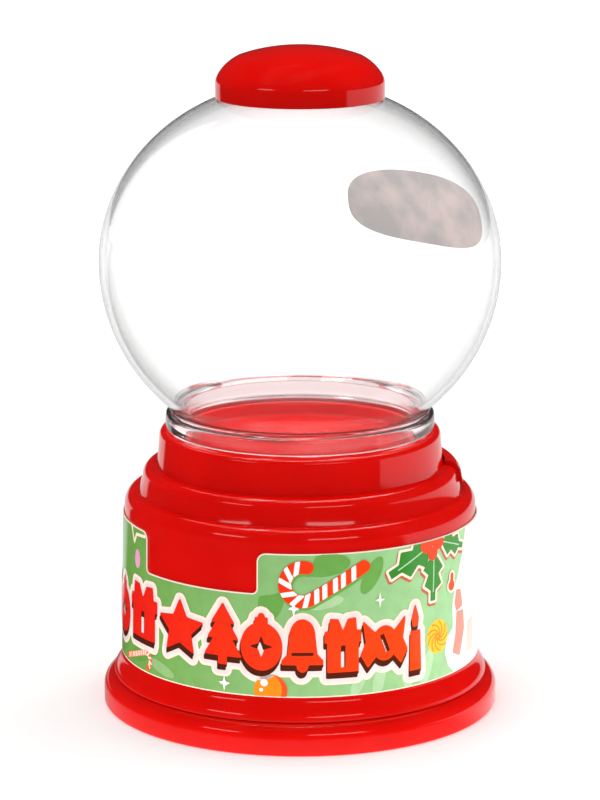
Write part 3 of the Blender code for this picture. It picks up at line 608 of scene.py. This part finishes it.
def housing_section():
    skirt_low, skirt_r = 6.45, 39.25
    skirt = [(skirt_r - 0.2, skirt_low), (skirt_r - 0.05, skirt_low + 0.1)]
    steps = 16
    for i in range(steps + 1):
        share = i / steps
        ease = share * share * (3 - 2 * share)
        radius = skirt_r - ease * (skirt_r - DRUM_LOW[0])
        skirt.append((radius, skirt_low + 0.4 + share * (DRUM_LOW[1] - skirt_low - 0.4)))
    section = [(0, skirt_low)] + skirt
    section += arc(*DRUM_EDGE, 0, 84, 20) + fillet(TIER_2_FOOT, (33.68, 46.0))
    section += arc(*TIER_2_EDGE, 0, 84, 16) + fillet(TIER_1_FOOT, (29.87, 51.4))
    section += arc(*TIER_1_EDGE, 0, 90, 10)
    return section + [(0, SHELF_TOP)]


def housing_cavity():
    section = [(0, 5.0), (35.3, 5.0), (34.9, 42.0), (33.9, 43.9), (32.2, 44.2), (31.4, 46.0)]
    section += [(30.9, 48.3), (30.2, 49.6), (28.95, 49.7), (28.95, 51.9), (26.6, 51.9)]
    section += [(26.6, 55.8), (25.6, 55.8), (25.6, 59.5), (0, 59.5)]
    shape = lathe(section, 96)
    for vert in shape.verts:
        vert.co.y = max(vert.co.y, FACET_INSIDE)
    return shape


def make_housing(material):
    housing = to_object("housing_shell", lathe(housing_section()))
    combine(housing, "DIFFERENCE", block((-25, -60, 8.4), (25, FACET, 44.6)), housing_cavity())
    posts = [turned(turn, BASE_SCREW_RADIUS) for turn in BASE_SCREW_TURNS]
    combine(
        housing,
        "UNION",
        *uprights(3.0, posts, 6.9, 20, 24),
        *plate_rods(2.3, FACET_INSIDE - 1, -26.4, 24),
    )
    combine(
        housing,
        "DIFFERENCE",
        *uprights(0.95, posts, 5, 17),
        *plate_rods(0.95, -40, -26, 16),
        rod(3.8, (0, -40, SHAFT_Z), (0, -28, SHAFT_Z)),
        block((-7.8, -40, 9.5), (7.8, -28, 22.4)),
        sector(tier_2_strip(-0.8, 3.0, 47.3, 30.1), COIN_TURN, BEZEL_HALF_ANGLE + 0.4, 30),
        coin_slit(),
    )
    dress(housing, material, "machine", "red_plastic", "housing")


def make_bottom_plate(material):
    section = [(0, 6.4), (39.1, 6.4)]
    section += arc((38.6, 3.4), (FOOT_R - 38.6, 3.0), 76, 0, 20)
    section += [(FOOT_R, 1.0)] + arc((FOOT_R - 0.6, 0.7), (0.6, 0.7), 0, -90, 6)
    section += [(36.4, 0), (35.5, 0.9), (35.5, 4.0), (0, 4.0)]
    plate = to_object("foot_plate", lathe(section))
    holes = [turned(turn, BASE_SCREW_RADIUS) for turn in BASE_SCREW_TURNS]
    holes += [Vector((-15.6, 12, 0)), Vector((15.6, 12, 0)), Vector((0, -10, 0))]
    combine(
        plate,
        "DIFFERENCE",
        rod(10.9, (-20, -8, 3), (-20, -8, 8)),
        *uprights(1.1, holes, 3, 8),
    )
    dress(plate, material, "machine", "red_plastic", "bottom_plate")


# ---------------------------------------------------------------- smaller parts


def make_bezel(material):
    strip = tier_2_strip(-0.6, 0.9, 47.5, 30.3)
    bezel = to_object("slot_bezel", sector(strip, COIN_TURN, BEZEL_HALF_ANGLE, 44))
    combine(bezel, "DIFFERENCE", coin_slit())
    dress(bezel, material, "machine", "red_plastic", "coin_slot_bezel")


def make_front_plate(material):
    low, high, front, back = 9.6, 44.0, -33.7, FACET - 0.25
    shape = rounded_plate(29.2, high - low, 2.5, back - front, 0.45)
    plate = to_object("face_plate", move(shape, (0, front, (low + high) / 2)))
    ears = []
    for side in (-1, 1):
        near, far = sorted((side * 8.8, side * 10.4))
        ears.append(rod(1.3, (near, PIN_Y, PIN_Z), (far, PIN_Y, PIN_Z)))
        ears.append(block((near, PIN_Y, PIN_Z - 1.3), (far, front + 0.4, PIN_Z + 1.3)))
    combine(plate, "UNION", *ears)
    combine(
        plate,
        "DIFFERENCE",
        rod(3.8, (0, -40, SHAFT_Z), (0, -28, SHAFT_Z)),
        block((-7.8, -40, 0), (7.8, -28, 22.4)),
        rod(0.62, (-15, PIN_Y, PIN_Z), (15, PIN_Y, PIN_Z), 24),
        *plate_rods(1.1, -40, -28, 24),
    )
    dress(plate, material, "machine", "white_plastic", "front_plate")


def make_flap(material):
    low, front, back = 10.0 - PIN_Z, -0.4, 0.5
    flap = to_object("flap_door", rod(1.25, (-8.4, 0, 0), (8.4, 0, 0)))
    lip = arc((-1.7, low + 0.35), (0.5, 0.35), 180, 360, 10)
    outline = [(front, -0.2), (front, low + 3.0)] + lip + [(back, low + 2.4), (back, -0.2)]
    combine(flap, "UNION", prism_x(outline, 8.35))
    combine(flap, "DIFFERENCE", rod(0.62, (-10, 0, 0), (10, 0, 0), 24))
    flap.location = Vector((0, PIN_Y, PIN_Z)) * MM
    dress(flap, material, "outlet_flap", "white_plastic", "outlet_flap")


def make_knob(material):
    thick, front, edge = 2.9, KNOB_BACK - KNOB_FRONT, 1.0
    section = [(0, 0)] + arc((KNOB_R - 0.4, 0.4), (0.4, 0.4), -90, 0, 5)
    section += arc((KNOB_R - edge, thick - edge), (edge, edge), 0, 90, 10) + [(0, thick)]
    knob = to_object("turn_knob", lathe(section))
    grip = block((-2.6, -6.2, thick - 0.6), (2.6, 6.2, front))
    edges = [e for e in grip.edges if max(v.co.z for v in e.verts) > thick]
    bmesh.ops.bevel(grip, geom=edges, offset=0.7, segments=5, profile=0.5, affect="EDGES")
    combine(knob, "UNION", grip)
    flutes = []
    for number in range(12):
        spot = turned(13 + 30 * number, KNOB_R + 0.4)
        flutes.append(rod(0.83, (spot.x, spot.y, -1), (spot.x, spot.y, front), 24))
    seat, recess = KNOB_BACK + 36.9 + 0.2, front - 1.8
    bore = [(0, -1), (1.95, -1), (1.95, seat), (0.95, seat), (0.95, recess)]
    bore += [(1.75, recess), (1.75, front + 1), (0, front + 1)]
    combine(knob, "DIFFERENCE", lathe(bore, 48), *flutes)
    knob.rotation_euler = (math.pi / 2, 0, 0)
    knob.location = Vector((0, KNOB_BACK, SHAFT_Z)) * MM
    dress(knob, material, "knob_drive", "red_plastic", "knob")


def make_hopper(material):
    inner, cup_r, floor, under = 22.6, 23.8, 55.0, 53.8
    low, high, rim = 50.6, 51.6, 58.2
    section = [(0, under), (inner - 0.6, under), (inner - 0.6, low), (28.7, low), (28.7, high)]
    section += [(cup_r, high)] + arc((cup_r - 0.3, rim - 0.3), (0.3, 0.3), 0, 90, 5)
    section += arc((inner + 0.3, rim - 0.3), (0.3, 0.3), 90, 180, 5)
    section += arc((inner - 0.9, floor + 0.9), (0.9, 0.9), 0, -90, 8) + [(0, floor)]
    hopper = to_object("hopper_cup", lathe(section))
    funnel = lathe([(0, 54.2), (11.0, 54.2), (7.0, 51.0), (7.0, 49.2), (0, 49.2)], 96)
    mouth = [(0, 56), (11.3, 55.6), (10.9, 55.1)] + arc((10.2, 51.8), (4.5, 3.0), 92, 178, 12)
    mouth += [(5.7, 51.0), (5.7, 48), (0, 48)]
    post = turned(GUIDE_TURN, 18.0)
    combine(
        hopper,
        "UNION",
        move(funnel, (0, THROAT_Y, 0)),
        *uprights(2.2, [post], 50.5, 54.3, 48),
    )
    holes = [turned(turn, HOPPER_SCREW_RADIUS) for turn in HOPPER_SCREW_TURNS]
    combine(
        hopper,
        "DIFFERENCE",
        move(lathe(mouth, 96), (0, THROAT_Y, 0)),
        *uprights(0.7, [post], 48, 53.4),
        *uprights(0.65, holes, 48, 53),
    )
    dress(hopper, material, "machine", "red_plastic", "hopper")


def globe_point(direction, lift):
    """Where a ray from the globe's centre leaves its outer surface, plus a lift."""
    height = GLOBE_UP if direction.z >= 0 else GLOBE_DOWN
    across = (direction.x**2 + direction.y**2) / GLOBE_R**2
    reach = 1 / math.sqrt(across + (direction.z / height) ** 2)
    return Vector((0, 0, GLOBE_Z)) + direction * (reach + lift)


def make_sticker(material):
    """A thin film: a long rounded outline, laid on the globe along rays from its centre."""
    middle = turned(STICKER_TURN, GLOBE_R * 0.9, STICKER_Z - GLOBE_Z)
    outwards = middle.normalized()
    level = Vector((0, 0, 1)).cross(outwards).normalized()
    along = Matrix.Rotation(math.radians(STICKER_TILT), 3, outwards) @ level
    across = outwards.cross(along)
    rings, sides = 14, 96
    outline = arc((0, 0), STICKER_HALF, 0, 360, sides, 0.7)[:-1]
    shape = bmesh.new()
    rims = []
    for lift in (0.35, 0.15):
        inner = [shape.verts.new(globe_point(outwards, lift))] * sides
        for ring in range(1, rings + 1):
            share = ring / rings
            spots = [middle + along * u * share + across * v * share for u, v in outline]
            outer = [shape.verts.new(globe_point(spot.normalized(), lift)) for spot in spots]
            for i in range(sides):
                j = (i + 1) % sides
                corners = dict.fromkeys((inner[i], outer[i], outer[j], inner[j]))
                shape.faces.new(list(corners))
            inner = outer
        rims.append(inner)
    top, bottom = rims
    for i in range(sides):
        j = (i + 1) % sides
        shape.faces.new((top[i], bottom[i], bottom[j], top[j]))
    bmesh.ops.recalc_face_normals(shape, faces=shape.faces)
    sticker = to_object("globe_patch", shape)
    dress(sticker, material, "machine", "sticker_film", "globe_sticker")


# ---------------------------------------------------------------- label art


class Sheet:
    """A grid over part of the label. A field holds a signed distance at each of its points, in
    millimetres and below 0 inside."""

    def __init__(self, low, high, cell):
        across = np.arange(low[0], high[0] + cell, cell)
        up = np.arange(low[1], high[1] + cell, cell)
        self.u, self.v = np.meshgrid(across, up, indexing="ij")


def union(*fields):
    return np.minimum.reduce(fields)


def common(*fields):
    return np.maximum.reduce(fields)


def minus(field, *holes):
    return common(field, -union(*holes))


def disc(sheet, centre, radius):
    return np.hypot(sheet.u - centre[0], sheet.v - centre[1]) - radius


def stroke(sheet, start, end, half_width):
    """A straight line with round ends."""
    along = (end[0] - start[0], end[1] - start[1])
    length = max(along[0] ** 2 + along[1] ** 2, 1e-9)
    share = ((sheet.u - start[0]) * along[0] + (sheet.v - start[1]) * along[1]) / length
    share = np.clip(share, 0, 1)
    across = sheet.u - start[0] - share * along[0]
    up = sheet.v - start[1] - share * along[1]
    return np.hypot(across, up) - half_width


def path(sheet, points, half_width):
    return union(*[stroke(sheet, a, b, half_width) for a, b in zip(points, points[1:])])


def polygon(sheet, points):
    inside = np.zeros(sheet.u.shape, bool)
    for (u0, v0), (u1, v1) in zip(points, points[1:] + points[:1]):
        slope = (u1 - u0) / (v1 - v0) if v1 != v0 else 0.0
        crosses = (v0 > sheet.v) != (v1 > sheet.v)
        inside ^= crosses & (sheet.u < u0 + (sheet.v - v0) * slope)
    edge = path(sheet, points + points[:1], 0.0)
    return np.where(inside, -edge, edge)


def shifted(sheet, field, offset):
    """The field swept from where it is to this offset."""
    cell = sheet.v[0, 1] - sheet.v[0, 0]
    steps = 6
    swept = [field]
    for i in range(1, steps + 1):
        across = round(offset[0] * i / steps / cell)
        up = round(offset[1] * i / steps / cell)
        swept.append(np.roll(field, (across, up), axis=(0, 1)))
    return union(*swept)


def on_drum(u, v, lift):
    """A point of the label's art on the drum."""
    return turned(180 + math.degrees(u / DRUM_LOW[0]), drum_radius(v) + lift, v)


def cell_outlines(field, i, j):
    """The parts of a grid cell that are inside, each a ring of corners and edge crossings."""
    ring = [(i, j), (i + 1, j), (i + 1, j + 1), (i, j + 1)]
    if all(field[corner] < 0 for corner in ring):
        return [[(corner, corner) for corner in ring]]
    outlines = []
    for triangle in (ring[:3], [ring[0], ring[2], ring[3]]):
        outline = []
        for a, b in zip(triangle, triangle[1:] + triangle[:1]):
            if field[a] < 0:
                outline.append((a, a))
            if (field[a] < 0) != (field[b] < 0):
                outline.append((min(a, b), max(a, b)))
        if outline:
            outlines.append(outline)
    return outlines


def decal(name, sheet, field, lift, thick=0.02):
    """A thin closed film over the part of the sheet where the field is below 0."""
    field = np.where(np.abs(field) < 0.01, np.where(field < 0, -0.01, 0.01), field)
    cells = union(field[:-1, :-1], field[1:, :-1], field[1:, 1:], field[:-1, 1:])
    shape = bmesh.new()
    made = {}

    def corner(key):
        if key not in made:
            a, b = key
            share = field[a] / (field[a] - field[b]) if a != b else 0.0
            u = sheet.u[a] + share * (sheet.u[b] - sheet.u[a])
            v = sheet.v[a] + share * (sheet.v[b] - sheet.v[a])
            made[key] = [shape.verts.new(on_drum(u, v, level)) for level in (lift, lift + thick)]
        return made[key]

    rim = set()
    for i, j in zip(*np.nonzero(cells < 0)):
        for outline in cell_outlines(field, int(i), int(j)):
            pairs = [corner(key) for key in outline]
            shape.faces.new([pair[1] for pair in pairs])
            shape.faces.new([pair[0] for pair in pairs[::-1]])
            for a, b in zip(outline, outline[1:] + outline[:1]):
                if (b, a) in rim:
                    rim.remove((b, a))
                else:
                    rim.add((a, b))
    for a, b in rim:
        shape.faces.new((made[b][1], made[a][1], made[a][0], made[b][0]))
    return to_object(name, shape)


def label_outline():
    """The wrap label laid flat, with the notch in its top edge at the back."""
    inner, outer = 1.0, 1.8
    right = arc((NOTCH_HALF - inner, NOTCH_LOW + inner), (inner, inner), -90, 0, 8)
    right += arc((NOTCH_HALF + outer, LABEL_HIGH - outer), (outer, outer), 180, 90, 8)
    right += [(LABEL_END, LABEL_HIGH), (LABEL_END, LABEL_LOW)]
    return right + [(-u, v) for u, v in right[::-1]]


def star(points, inner):
    """A star's outline in a box from -1 to 1, with its inner corners this far from the centre."""
    outline = []
    for i in range(2 * points):
        reach = 1.0 if i % 2 == 0 else inner
        angle = math.pi * i / points
        outline.append((reach * math.sin(angle), reach * math.cos(angle)))
    return outline


def box_outline(low, high):
    return [low, (high[0], low[1]), high, (low[0], high[1])]


def mirrored(half):
    """An outline whose right half is given from top to bottom."""
    return half + [(-u, v) for u, v in half[::-1]]


def gift():
    solids = [box_outline((-0.85, -1.0), (0.85, 0.22)), box_outline((-1.0, 0.12), (1.0, 0.5))]
    for side in (-1, 1):
        solids.append([(0, 0.45), (side * 0.75, 0.55), (side * 0.7, 0.98), (side * 0.3, 0.95)])
    holes = [box_outline((-0.13, -0.85), (0.13, -0.02))]
    return solids, holes


def bell():
    side = [(math.sin(a / 10) * 0.6, 0.35 + math.cos(a / 10) * 0.6) for a in range(1, 16)]
    solids = [mirrored(side + [(0.7, -0.35), (1.0, -0.6), (1.0, -0.72)])]
    solids.append(arc((0, -0.75), (0.26, 0.25), 0, 360, 20)[:-1])
    return solids, [box_outline((-0.55, -0.4), (0.55, -0.28))]


def tree():
    half = [(0, 1.0), (0.6, 0.38), (0.32, 0.4), (0.82, -0.15), (0.45, -0.13), (1.0, -0.72)]
    return [mirrored(half + [(0.2, -0.72), (0.2, -1.0)])], []


def bauble():
    ball = arc((0, -0.18), (1.0, 0.82), 0, 360, 40)[:-1]
    cap = box_outline((-0.28, 0.55), (0.28, 0.82))
    hook = arc((0, 0.85), (0.14, 0.13), 0, 360, 12)[:-1]
    band = [(0.62 * u, 0.4 * v - 0.18) for u, v in star(4, 0.35)]
    return [ball, cap, hook], [band]


def sweet():
    body = arc((0, 0), (0.52, 0.62), 0, 360, 40)[:-1]
    wing = [(0, 0), (0.9, 0.85), (0.78, 0.1), (1, -0.35), (0.72, -0.8)]
    stripe = [(-0.22, 0.3), (-0.05, 0.36), (0.22, -0.3), (0.05, -0.36)]
    return [body, [(-u, v) for u, v in wing], wing], [stripe]


def candle():
    body = mirrored([(0.8, 0.2), (0.95, -1.0)])
    flame = mirrored([(0, 1.0), (0.55, 0.62), (0.35, 0.38)])
    return [body, flame], []


def big_star():
    return [star(5, 0.5)], []


# Each shape of the row and the corners of the box it fills, in place of the printed greeting
ROW = (
    (big_star, (-55.5, 17.5), (-45.0, 28.5)),
    (sweet, (-43.5, 17.5), (-32.5, 28.5)),
    (bauble, (-31.0, 17.2), (-22.3, 29.0)),
    (gift, (-20.8, 18.6), (-10.3, 29.8)),
    (big_star, (-9.2, 17.6), (2.6, 29.2)),
    (tree, (3.2, 17.6), (11.0, 30.0)),
    (bauble, (11.2, 17.0), (19.4, 28.8)),
    (bell, (19.6, 16.8), (27.6, 27.8)),
    (gift, (28.2, 16.6), (35.4, 27.6)),
    (sweet, (35.6, 16.0), (46.0, 27.2)),
    (candle, (46.8, 14.9), (49.6, 28.2)),
)


def row_field(sheet):
    """The whole row, as one field."""
    fields = []
    for shape, low, high in ROW:
        centre = ((low[0] + high[0]) / 2, (low[1] + high[1]) / 2)
        half = ((high[0] - low[0]) / 2, (high[1] - low[1]) / 2)
        placed = []
        for outlines in shape():
            polygons = []
            for outline in outlines:
                fitted = [(centre[0] + u * half[0], centre[1] + v * half[1]) for u, v in outline]
                polygons.append(polygon(sheet, fitted))
            placed.append(polygons)
        solids, holes = placed
        field = union(*solids) - 0.2
        fields.append(minus(field, *holes) if holes else field)
    return union(*fields)


def cane_path(hook, radius, start, end, tip, steps=40):
    """Points along a candy cane: round its hook, then straight to its tip."""
    points = arc(hook, (radius, radius), start, end, steps)
    u, v = points[-1]
    pieces = 20
    for i in range(1, pieces + 1):
        share = i / pieces
        points.append((u + (tip[0] - u) * share, v + (tip[1] - v) * share))
    return points


def cane_stripes(sheet, points, half_width, pitch, slant):
    """Slanting bands across a candy cane, one at every pitch along it."""
    bands = []
    gone = 0.0
    for a, b in zip(points, points[1:]):
        step = math.dist(a, b)
        gone += step
        if gone < pitch:
            continue
        gone -= pitch
        along = ((b[0] - a[0]) / step, (b[1] - a[1]) / step)
        reach = (along[0] * slant - along[1], along[1] * slant + along[0])
        start = (a[0] - reach[0] * half_width, a[1] - reach[1] * half_width)
        end = (a[0] + reach[0] * half_width, a[1] + reach[1] * half_width)
        bands.append(stroke(sheet, start, end, pitch * 0.23))
    return common(union(*bands), path(sheet, points, half_width))


def holly_leaf(base, tip, width, spikes=3):
    """A holly leaf's outline, with this many spikes a side between its base and its tip."""
    along = (tip[0] - base[0], tip[1] - base[1])
    length = math.hypot(*along)
    side = (-along[1] / length, along[0] / length)
    outline = []
    for sign, order in ((1, range(2 * spikes)), (-1, range(2 * spikes)[::-1])):
        for i in order:
            share = (i + 0.7) / (2 * spikes)
            swell = math.sin(math.pi * min(0.12 + share, 0.97)) ** 0.6
            reach = sign * width * swell * (1.0 if i % 2 else 0.5)
            forward = share + (0.05 if i % 2 else 0.0)
            u = base[0] + along[0] * forward + side[0] * reach
            v = base[1] + along[1] * forward + side[1] * reach
            outline.append((u, v))
        if sign == 1:
            outline.append(tip)
    return outline + [base]


def sparkle(sheet, centre, half_size):
    points = [(centre[0] + u * half_size, centre[1] + v * half_size) for u, v in star(4, 0.22)]
    return polygon(sheet, points)


def ellipse(sheet, centre, radii, tilt=0.0):
    """A tilted ellipse. Away from its edge the field is only roughly a distance."""
    angle = math.radians(tilt)
    u, v = sheet.u - centre[0], sheet.v - centre[1]
    across = (u * math.cos(angle) + v * math.sin(angle)) / radii[0]
    up = (v * math.cos(angle) - u * math.sin(angle)) / radii[1]
    return (np.hypot(across, up) - 1) * min(radii)


def lay(name, sheet, field, level, colour):
    """One printed area of the label, in this ink, at its level in the stack."""
    obj = decal(name, sheet, field, PRINT + level * LAYER)
    dress(obj, bpy.data.materials[f"ink_{colour}"], "machine", "printed_film")


def print_row():
    sheet = Sheet((-59, 12), (53, 34), 0.25)
    shapes = row_field(sheet)
    depth = shifted(sheet, shapes, (-0.25, -1.25))
    both = union(shapes, depth)
    lay("row_cream", sheet, both - 1.3, 2, "cream")
    lay("row_pink", sheet, both - 0.75, 3, "pink")
    lay("row_brown", sheet, depth, 4, "brown")
    lay("row_red", sheet, shapes, 5, "red")


def print_canes():
    sheet = Sheet((17, 29.5), (40, 41), 0.25)
    points = cane_path((23.6, 34.9), 3.55, 75, 300, (36.2, 38.0))
    whole = path(sheet, points, 1.35)
    lay("cane_shade", sheet, shifted(sheet, whole, (0.25, -0.5)), 3, "dark_green")
    lay("cane_red", sheet, whole, 4, "red")
    lay("cane_white", sheet, cane_stripes(sheet, points, 1.3, 2.2, 0.55), 5, "white")
    sheet = Sheet((-26, 11.5), (-10, 18), 0.2)
    points = cane_path((-14.2, 14.0), 1.6, -70, 112, (-23.4, 12.7))
    lay("small_cane_red", sheet, path(sheet, points, 0.6), 2, "orange")
    lay("small_cane_white", sheet, cane_stripes(sheet, points, 0.55, 0.95, 0.5), 3, "cream")


def print_holly():
    sheet = Sheet((38, 25.9), (68, 40.9), 0.25)
    leaves = [
        polygon(sheet, holly_leaf((53.5, 40.6), (42.0, 35.4), 3.6)),
        polygon(sheet, holly_leaf((53.6, 38.4), (53.2, 28.3), 3.1)),
        polygon(sheet, holly_leaf((56.0, 40.2), (64.4, 37.6), 2.6)),
    ]
    all_leaves = union(*leaves)
    rim = all_leaves - 0.55
    lay("holly_shade", sheet, shifted(sheet, rim, (-0.2, -0.45)), 2, "rust")
    lay("holly_cream", sheet, rim, 3, "cream")
    lay("holly_leaves", sheet, all_leaves, 4, "leaf")
    veins = union(
        stroke(sheet, (52.5, 40.2), (44.0, 36.3), 0.15),
        stroke(sheet, (53.6, 37.4), (53.3, 30.2), 0.15),
        stroke(sheet, (56.5, 40.1), (62.6, 38.1), 0.15),
    )
    lay("holly_veins", sheet, veins, 5, "light_green")
    berries = union(
        disc(sheet, (51.4, 40.3), 1.7),
        disc(sheet, (54.9, 40.6), 1.8),
        disc(sheet, (53.2, 38.2), 1.4),
    )
    lay("holly_berries", sheet, berries, 6, "orange")
    drop = union(disc(sheet, (59.5, 30.2), 1.1), stroke(sheet, (59.5, 30.4), (59.7, 32.3), 0.55))
    lay("drop_cream", sheet, drop - 0.5, 5, "cream")
    lay("drop_red", sheet, drop, 6, "red")


def print_sweets():
    sheet = Sheet((50, 15.9), (60, 25), 0.25)
    centre = (54.8, 20.4)
    whole = ellipse(sheet, centre, (3.3, 3.6))
    blades = []
    for blade in range(9):
        points = []
        for step in range(7):
            angle = math.radians(40 * blade + 14 * step)
            reach = 0.4 + 0.47 * step
            points.append((centre[0] + reach * math.cos(angle), centre[1] + reach * math.sin(angle)))
        blades.append(path(sheet, points, 0.16))
    lay("swirl_yellow", sheet, whole, 1, "yellow")
    lay("swirl_lines", sheet, common(union(*blades), whole), 2, "amber")
    sheet = Sheet((12, 11.5), (22, 17.5), 0.25)
    ball = disc(sheet, (17.2, 12.7), 3.4)
    lay("ball_orange", sheet, ball, 3, "amber")
    lay("ball_shade", sheet, minus(ball, disc(sheet, (16.0, 12.9), 3.5)), 4, "orange")
    glints = union(disc(sheet, (15.9, 14.3), 0.75), disc(sheet, (15.3, 12.8), 0.4))
    lay("ball_glints", sheet, glints, 4, "white")
    sheet = Sheet((-23, 32), (-13, 40.9), 0.25)
    lay("pink_sweet", sheet, ellipse(sheet, (-18.4, 34.6), (1.25, 2.0)), 1, "rose")
    zigzag = path(sheet, [(-21.6, 40.9), (-20.1, 37.8), (-18.9, 39.7), (-15.0, 40.0)], 0.32)
    lay("zigzag", sheet, zigzag, 1, "cream")


def print_drift():
    sheet = Sheet((55, 11.55), (92, 40.8), 0.35)
    edge = [(61.2, 11.5), (58.6, 13.6), (57.5, 16.6), (58.4, 19.2), (60.6, 21.0), (60.4, 25.6)]
    edge += [(61.6, 29.5), (63.2, 32.6), (65.0, 36.0), (66.6, 41.1), (85, 41.1), (90, 28), (84, 11.5)]
    lay("drift", sheet, polygon(sheet, edge) - 0.4, 1, "snow")
    upper = [(61.8, 28.6), (63.4, 28.2), (64.2, 24.9), (61.6, 24.4), (61.1, 26.0)]
    lower = [(61.8, 23.9), (64.6, 23.6), (65.0, 19.8), (62.8, 14.6), (60.2, 15.8), (61.4, 19.6)]
    ribbons = union(polygon(sheet, upper), polygon(sheet, lower))
    lay("ribbons", sheet, ribbons - 0.2, 2, "salmon")
    pale = polygon(sheet, [(67.0, 20.4), (70.6, 20.8), (70.0, 14.4), (66.8, 14.2)])
    lay("pale_ribbon", sheet, pale - 0.2, 2, "blush")


def print_background():
    """Faint leaves, and sparkles."""
    sheet = Sheet((-59, 11.55), (59, 40.8), 0.35)
    dark = union(
        ellipse(sheet, (28.2, 38.7), (5.2, 2.3), 6),
        ellipse(sheet, (17.4, 31.8), (2.6, 5.0), -14),
        ellipse(sheet, (38.0, 36.0), (4.2, 1.7), 60),
        ellipse(sheet, (-15.5, 15.4), (5.4, 1.9), 20),
    )
    light = union(
        ellipse(sheet, (19.0, 37.0), (3.6, 1.8), 50),
        ellipse(sheet, (35.0, 13.8), (1.2, 3.0), -24),
        ellipse(sheet, (39.5, 14.0), (1.3, 3.4), -12),
        ellipse(sheet, (46.0, 13.6), (1.2, 3.0), 14),
        ellipse(sheet, (51.5, 14.5), (1.4, 4.2), -18),
        ellipse(sheet, (-9.0, 13.6), (4.2, 1.2), -14),
        ellipse(sheet, (28.0, 31.0), (4.0, 1.3), 10),
    )
    notch = stroke(sheet, (-NOTCH_HALF, 45), (NOTCH_HALF, 45), 45 - NOTCH_LOW + 0.4)
    lay("dark_leaves", sheet, minus(dark, notch), 1, "dark_green")
    lay("light_leaves", sheet, minus(light, notch, dark), 1, "light_green")
    spots = ((21.85, 29.9, 1.9), (39.7, 30.7, 1.7), (7.55, 13.5, 2.0), (-39, 33, 1.8), (-50, 35, 1.5))
    glints = union(*[sparkle(sheet, (u, v), size) for u, v, size in spots])
    lay("sparkles", sheet, glints, 6, "white")


def make_label(film):
    for name, ends in INKS.items():
        ink(f"ink_{name}", *ends)
    sheet = Sheet((-98, 10), (98, 42), 0.5)
    outline = polygon(sheet, label_outline())
    label = decal("wrap_label", sheet, outline, LABEL_LIFT, LABEL_THICK)
    dress(label, film, "machine", "printed_film", "label")
    lay("label_green", sheet, outline + 0.25, 0, "green")
    print_background()
    print_row()
    print_canes()
    print_holly()
    print_sweets()
    print_drift()


# ---------------------------------------------------------------- globe and cap


def globe_section():
    steps = 60
    low = math.degrees(math.asin(math.sqrt(1 - (NECK_R / GLOBE_R) ** 2)))
    high = math.degrees(math.acos(COLLAR_R / GLOBE_R))
    centre = (0, GLOBE_Z)
    inner_r = GLOBE_R - GLOBE_WALL
    inner_up = GLOBE_UP - GLOBE_WALL
    inner_down = GLOBE_DOWN - GLOBE_WALL
    inner_low = math.degrees(math.asin(math.sqrt(1 - (SPIGOT_INNER_R / inner_r) ** 2)))
    inner_high = math.degrees(math.acos(COLLAR_INNER_R / inner_r))
    section = [(SPIGOT_INNER_R, 53.9), (26.0, 53.9), (26.3, 55.4), (25.3, 55.5), (25.3, 58.7)]
    section += arc((27.2, 60.6), (0.9, 1.8), -80, 80, 16, 0.6)
    section += [(26.95, 62.5), (26.85, 62.7)]
    section += arc(centre, (GLOBE_R, GLOBE_DOWN), -low, 0, steps)[1:]
    section += arc(centre, (GLOBE_R, GLOBE_UP), 0, high, steps)[1:]
    section += [(COLLAR_R, 133.0), (COLLAR_INNER_R, 133.0)]
    section += arc(centre, (inner_r, inner_up), inner_high, 0, steps)
    section += arc(centre, (inner_r, inner_down), 0, -inner_low, steps)[1:]
    return section


def make_globe(material):
    globe = to_object("clear_globe", lathe(globe_section()))
    dress(globe, material, "machine", "clear_plastic", "globe")
    globe.visible_shadow = False


def make_cap(material):
    lip = arc((CAP_R - 0.15, CAP_RIM - 0.05), (0.15, 0.15), -90, 0, 5)
    crown = arc((11.0, 131.2), (CAP_R - 11.0, 5.7), 0, 68, 26, 1.3)
    dome = arc((0, 124.65), (24.0, 13.85), 57.8, 90, 12)
    inside = [(0, 136.8), (6.0, 136.4), (11.8, 134.9), (12.1, 131.0), (13.2, 131.0)]
    inside += [(13.3, 134.4), (15.1, 133.4), (16.0, 131.6), (16.0, CAP_RIM + 0.6)]
    inside += [(16.3, CAP_RIM + 0.2)]
    cap = to_object("cap_lid", lathe(lip + crown + dome + inside))
    dress(cap, material, "cap", "red_plastic", "cap")


# ---------------------------------------------------------------- scene


def dress_cad_nodes(materials):
    """Gives the CAD nodes that stay their materials."""
    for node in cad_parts.values():
        for slot in node.material_slots:
            name = slot.material.name.split(".")[0]
            if name in materials:
                slot.material = materials[name]


def main():
    bpy.context.scene.view_settings.view_transform = "Standard"
    make_camera()
    make_world()
    make_floor()
    make_lights()
    materials = make_materials()
    dress_cad_nodes(materials)
    make_housing(materials["red_plastic"])
    make_bottom_plate(materials["red_plastic"])
    make_bezel(materials["red_plastic"])
    make_front_plate(materials["white_plastic"])
    make_flap(materials["white_plastic"])
    make_knob(materials["red_plastic"])
    make_hopper(materials["red_satin"])
    make_label(materials["film"])
    make_globe(materials["clear"])
    make_sticker(materials["patch"])
    make_cap(materials["red_plastic"])


main()
